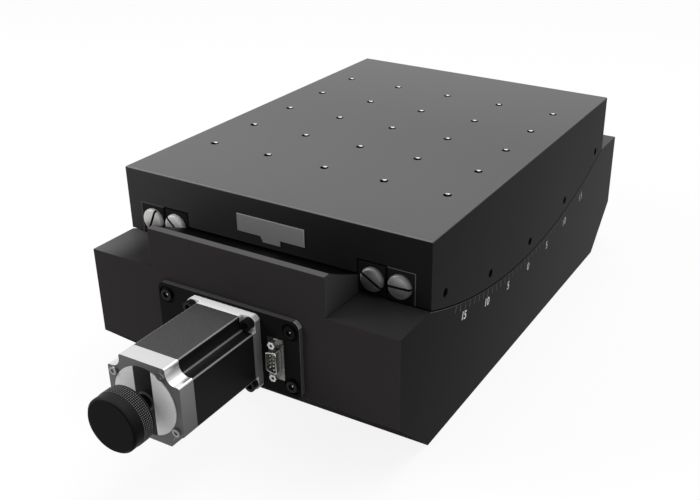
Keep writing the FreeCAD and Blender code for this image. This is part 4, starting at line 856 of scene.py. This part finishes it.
def join(pieces):
    clear_selection()
    for piece in pieces:
        piece.select_set(True)
    bpy.context.view_layer.objects.active = pieces[0]
    bpy.ops.object.join()
    return bpy.context.object


def scale_marks():
    long_bar = add_bar(LONG_MARK)
    short_bar = add_bar(SHORT_MARK)
    marks = []
    for degree in range(-SCALE_REACH, SCALE_REACH + 1):
        source = short_bar if degree % LONG_MARK_EVERY else long_bar
        marks.append(turned_copy(source, degree))
    for source in (long_bar, short_bar):
        bpy.data.objects.remove(source)
    return settle(join(marks), "scale_marks", "base", MARK_PAINT)


def scale_number(degree):
    """A number as a flat text, made a thin mesh and turned to its place on the arc."""
    clear_selection()
    bpy.ops.object.text_add(location=(0, 0, 0))
    text = bpy.context.object
    text.data.body = str(abs(degree))
    text.data.align_x = "CENTER"
    text.data.align_y = "CENTER"
    text.data.size = NUMBER_HEIGHT / DIGIT_SHARE
    text.data.extrude = MARK_PROUD
    text.data.offset = NUMBER_BOLD
    text.data.resolution_u = DIGIT_STEPS
    place = Matrix.Translation((SIDE_X, AXIS.y, AXIS.z - NUMBER_RADIUS))
    upright = Matrix.Rotation(math.radians(90), 4, "Z") @ Matrix.Rotation(math.radians(90), 4, "X")
    text.matrix_world = round_axis(degree) @ place @ upright
    bpy.context.view_layer.update()
    bpy.ops.object.convert(target="MESH")
    number = bpy.context.object
    bpy.ops.object.mode_set(mode="EDIT")
    bpy.ops.mesh.select_all(action="SELECT")
    bpy.ops.mesh.remove_doubles(threshold=WELD)
    bpy.ops.mesh.normals_make_consistent(inside=False)
    bpy.ops.object.mode_set(mode="OBJECT")
    return number


marks = scale_marks()
numbers = join([scale_number(degree) for degree in NUMBERED])
numbers = settle(numbers, "scale_numbers", "base", NUMBER_PAINT)
print("scale", len(marks.data.polygons), "faces,", len(numbers.data.polygons), "faces in its numbers")

# %% [markdown]
# The knurled band starts as a circle of short edges round the knob. It is drawn
# out row by row, closed on its inner side, and then each outer face is poked
# outwards into a small pyramid.

# %% Knurled band
KNURLS = 90
KNURL_ROWS = 6
KNURL_START = knob_low[1] + 0.0074
KNURL_STEP = 0.0013
BAND_SUNK = 0.0008


def select_faces(mesh, wanted):
    """Selects the faces of the mesh in edit mode whose middle is wanted, and nothing else."""
    shape = bmesh.from_edit_mesh(mesh)
    for face in shape.faces:
        face.select_set(False)
    for face in shape.faces:
        if wanted(face.calc_center_median()):
            face.select_set(True)
    bmesh.update_edit_mesh(mesh)


def on_outside(point):
    return math.hypot(point.x - KNOB_X, point.z - KNOB_Z) > KNOB_R - BAND_SUNK / 4


def draw_out(length):
    bpy.ops.mesh.extrude_region_move(TRANSFORM_OT_translate={"value": (0, length, 0)})


def knurled_band():
    clear_selection()
    bpy.ops.mesh.primitive_circle_add(vertices=KNURLS, radius=KNOB_R, location=(KNOB_X, KNURL_START, KNOB_Z),
                                      rotation=(math.pi / 2, 0, 0))
    bpy.ops.object.transform_apply(location=True, rotation=True, scale=True)
    band = bpy.context.object
    bpy.ops.object.mode_set(mode="EDIT")
    bpy.ops.mesh.select_all(action="SELECT")
    for row in range(KNURL_ROWS):
        draw_out(KNURL_STEP)
    inner = 1 - BAND_SUNK / KNOB_R
    width = KNURL_ROWS * KNURL_STEP
    draw_out(0)
    bpy.ops.transform.resize(value=(inner, 1, inner), center_override=(KNOB_X, KNURL_START + width, KNOB_Z))
    draw_out(-width)
    bpy.ops.mesh.select_all(action="DESELECT")
    bpy.ops.mesh.select_non_manifold()
    bpy.ops.mesh.bridge_edge_loops()
    bpy.ops.mesh.select_all(action="SELECT")
    bpy.ops.mesh.normals_make_consistent(inside=False)
    select_faces(band.data, on_outside)
    bpy.ops.mesh.poke(offset=KNURL_HEIGHT)
    bpy.ops.object.mode_set(mode="OBJECT")
    return settle(band, "knob_knurling", "drive", KNURL_FINISH)


band = knurled_band()
band_reach = max(math.hypot(v.co.x - KNOB_X, v.co.z - KNOB_Z) for v in band.data.vertices)
print("knurled band", len(band.data.polygons), "faces, stands out", round(band_reach - KNOB_R, 5), "m")

# %% [markdown]
# The stop screws on the rails' ends have thick slotted heads. Their outline in
# the photograph is nearly round although they are seen at a slant, so each head
# stands well out of the rail and its edge is broadly rounded. One screw is
# modelled at the origin: a cylinder whose foot is inset and drawn out into the
# shank, and whose slot a cutter takes out. Its copies go to the eight rail ends,
# with the slots of each rail pair at a turn of their own. The flat of a head is
# bright, and its rounded edge is painted a duller, hardly metallic grey as shade.
# Both are painted darker towards the right side, the outer right pair a little
# less, as painted shade, and the slot is painted near black as shade.

# %% Stop screws
HEAD_R = 0.0087
HEAD_HEIGHT = 0.0028
HEAD_ROUND = 0.0018
HEAD_SIDES = 64
ROUND_STEPS = 4
SMOOTH_BELOW = 25
SHANK_R = 0.003
SHANK_LENGTH = 0.012
SLOT_WIDTH = 0.0018
SLOT_DEPTH = 0.0022
CAD_HEAD_HEIGHT = 0.0012
SLOT_TURNS = {"base_stop_screws": (44, 30), "table_stop_screws": (-66, -2)}
DARK_FROM_X = 0.0
DARK_TO_X = 0.09
OUTER_SCREW_X = 0.092

DISC_BRIGHT = Finish("disc_bright", (0.5, 0.5, 0.49), 0.34, 0.9)
x, y, z = DISC_BRIGHT.axes()
disc_scratch = DISC_BRIGHT.noise(1500.0, 3.0, (1.0, 0.15, 1.0))
disc_blotch = DISC_BRIGHT.noise(160.0, 2.0)
# painted shade: the heads are painted darker towards the right side, the outer right pair a little less
to_the_right = x.ramp(DARK_FROM_X, DARK_TO_X)
DISC_BRIGHT.colour(DISC_BRIGHT.mix(to_the_right, (0.60, 0.60, 0.59), (0.25, 0.25, 0.245)))
DISC_BRIGHT.paint(x.above(OUTER_SCREW_X), (0.34, 0.34, 0.335))
DISC_BRIGHT.paint(disc_scratch * 0.4 + disc_blotch * 0.2, (0.26, 0.26, 0.25))
# painted shade: the rounded edge is painted a duller grey and made hardly metallic
disc_round = y.size().below(table_high[1] + HEAD_HEIGHT - HAIR / 2)
DISC_BRIGHT.paint(disc_round, DISC_BRIGHT.mix(to_the_right, grey(0.46), grey(0.13)))
DISC_BRIGHT.metallic(0.9 - disc_round * 0.85)
DISC_BRIGHT.roughness(disc_scratch * 0.15 + 0.28)

# painted shade: the slot's walls and floor are painted near black
SLOT_SHADE = grained("slot_shade", grey(0.006), grey(0.012), 900.0, (0.5, 0), detail=2.0,
                    Specular_IOR_Level=0.02)
for name in SLOT_TURNS:
    wear(name, DISC_BRIGHT)


def cut_slot(screw):
    """Takes the slot out of the head and paints its walls and floor near black as painted shade."""
    bpy.ops.mesh.primitive_cube_add(size=1, location=(0, 0, HEAD_HEIGHT),
                                    scale=(3 * HEAD_R, SLOT_WIDTH, 2 * SLOT_DEPTH))
    cutter = bpy.context.object
    bpy.context.view_layer.objects.active = screw
    slot = screw.modifiers.new("slot", "BOOLEAN")
    slot.operation = "DIFFERENCE"
    slot.solver = "EXACT"
    slot.object = cutter
    bpy.ops.object.modifier_apply(modifier="slot")
    bpy.data.objects.remove(cutter)
    for finish in (DISC_BRIGHT, SLOT_SHADE):
        screw.data.materials.append(finish.material)
    for face in screw.data.polygons:
        below_top = HEAD_HEIGHT - 1.1 * SLOT_DEPTH < face.center.z < HEAD_HEIGHT - HAIR
        if below_top and math.hypot(face.center.x, face.center.y) < HEAD_R / 2:
            face.material_index = 1


def stop_screw():
    """One screw at the origin. It looks up and its head stands on the ground plane."""
    clear_selection()
    bpy.ops.mesh.primitive_cylinder_add(vertices=HEAD_SIDES, radius=HEAD_R, depth=HEAD_HEIGHT,
                                        location=(0, 0, HEAD_HEIGHT / 2))
    bpy.ops.object.transform_apply(location=True, rotation=True, scale=True)
    screw = bpy.context.object
    bpy.ops.object.mode_set(mode="EDIT")
    select_faces(screw.data, lambda point: point.z < HAIR)
    bpy.ops.mesh.inset(thickness=HEAD_R - SHANK_R)
    bpy.ops.mesh.extrude_region_move(TRANSFORM_OT_translate={"value": (0, 0, -SHANK_LENGTH)})
    select_faces(screw.data, lambda point: point.z > HEAD_HEIGHT - HAIR)
    bpy.ops.mesh.bevel(offset=HEAD_ROUND, segments=ROUND_STEPS)
    bpy.ops.object.mode_set(mode="OBJECT")
    cut_slot(screw)
    return screw


def screw_copy(screw, place, outward, turn):
    """A copy whose head looks along plus or minus Y, with its slot turned in that plane."""
    slot_way = Vector((math.cos(math.radians(turn)), 0, -math.sin(math.radians(turn))))
    head_way = Vector((0, outward, 0))
    axes = Matrix((slot_way, head_way.cross(slot_way), head_way)).transposed().to_4x4()
    copy = screw.copy()
    copy.data = screw.data.copy()
    copy.data.transform(Matrix.Translation(place) @ axes)
    bpy.context.scene.collection.objects.link(copy)
    return copy


def stop_screws(node, body, name):
    """The four screws that stand for one CAD node, at the places of its own heads."""
    low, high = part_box(node)
    middle_z = (low[2] + high[2]) / 2
    side_x = high[0] - (high[2] - low[2]) / 2
    end_y = high[1] - CAD_HEAD_HEIGHT
    screw = stop_screw()
    copies = []
    for x, turn in zip((-side_x, side_x), SLOT_TURNS[node]):
        for end in (-1, 1):
            copies.append(screw_copy(screw, Vector((x, end * end_y, middle_z)), end, turn))
    bpy.data.objects.remove(screw)
    piece = settle(join(copies), name, body)
    bpy.ops.object.shade_smooth_by_angle(angle=math.radians(SMOOTH_BELOW))
    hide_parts(node)
    print(name, len(piece.data.polygons), "faces, ends at y", round(end_y + HEAD_HEIGHT, 4))
    return piece


stop_screws("base_stop_screws", "base", "slotted_stops_base")
stop_screws("table_stop_screws", "table", "slotted_stops_table")
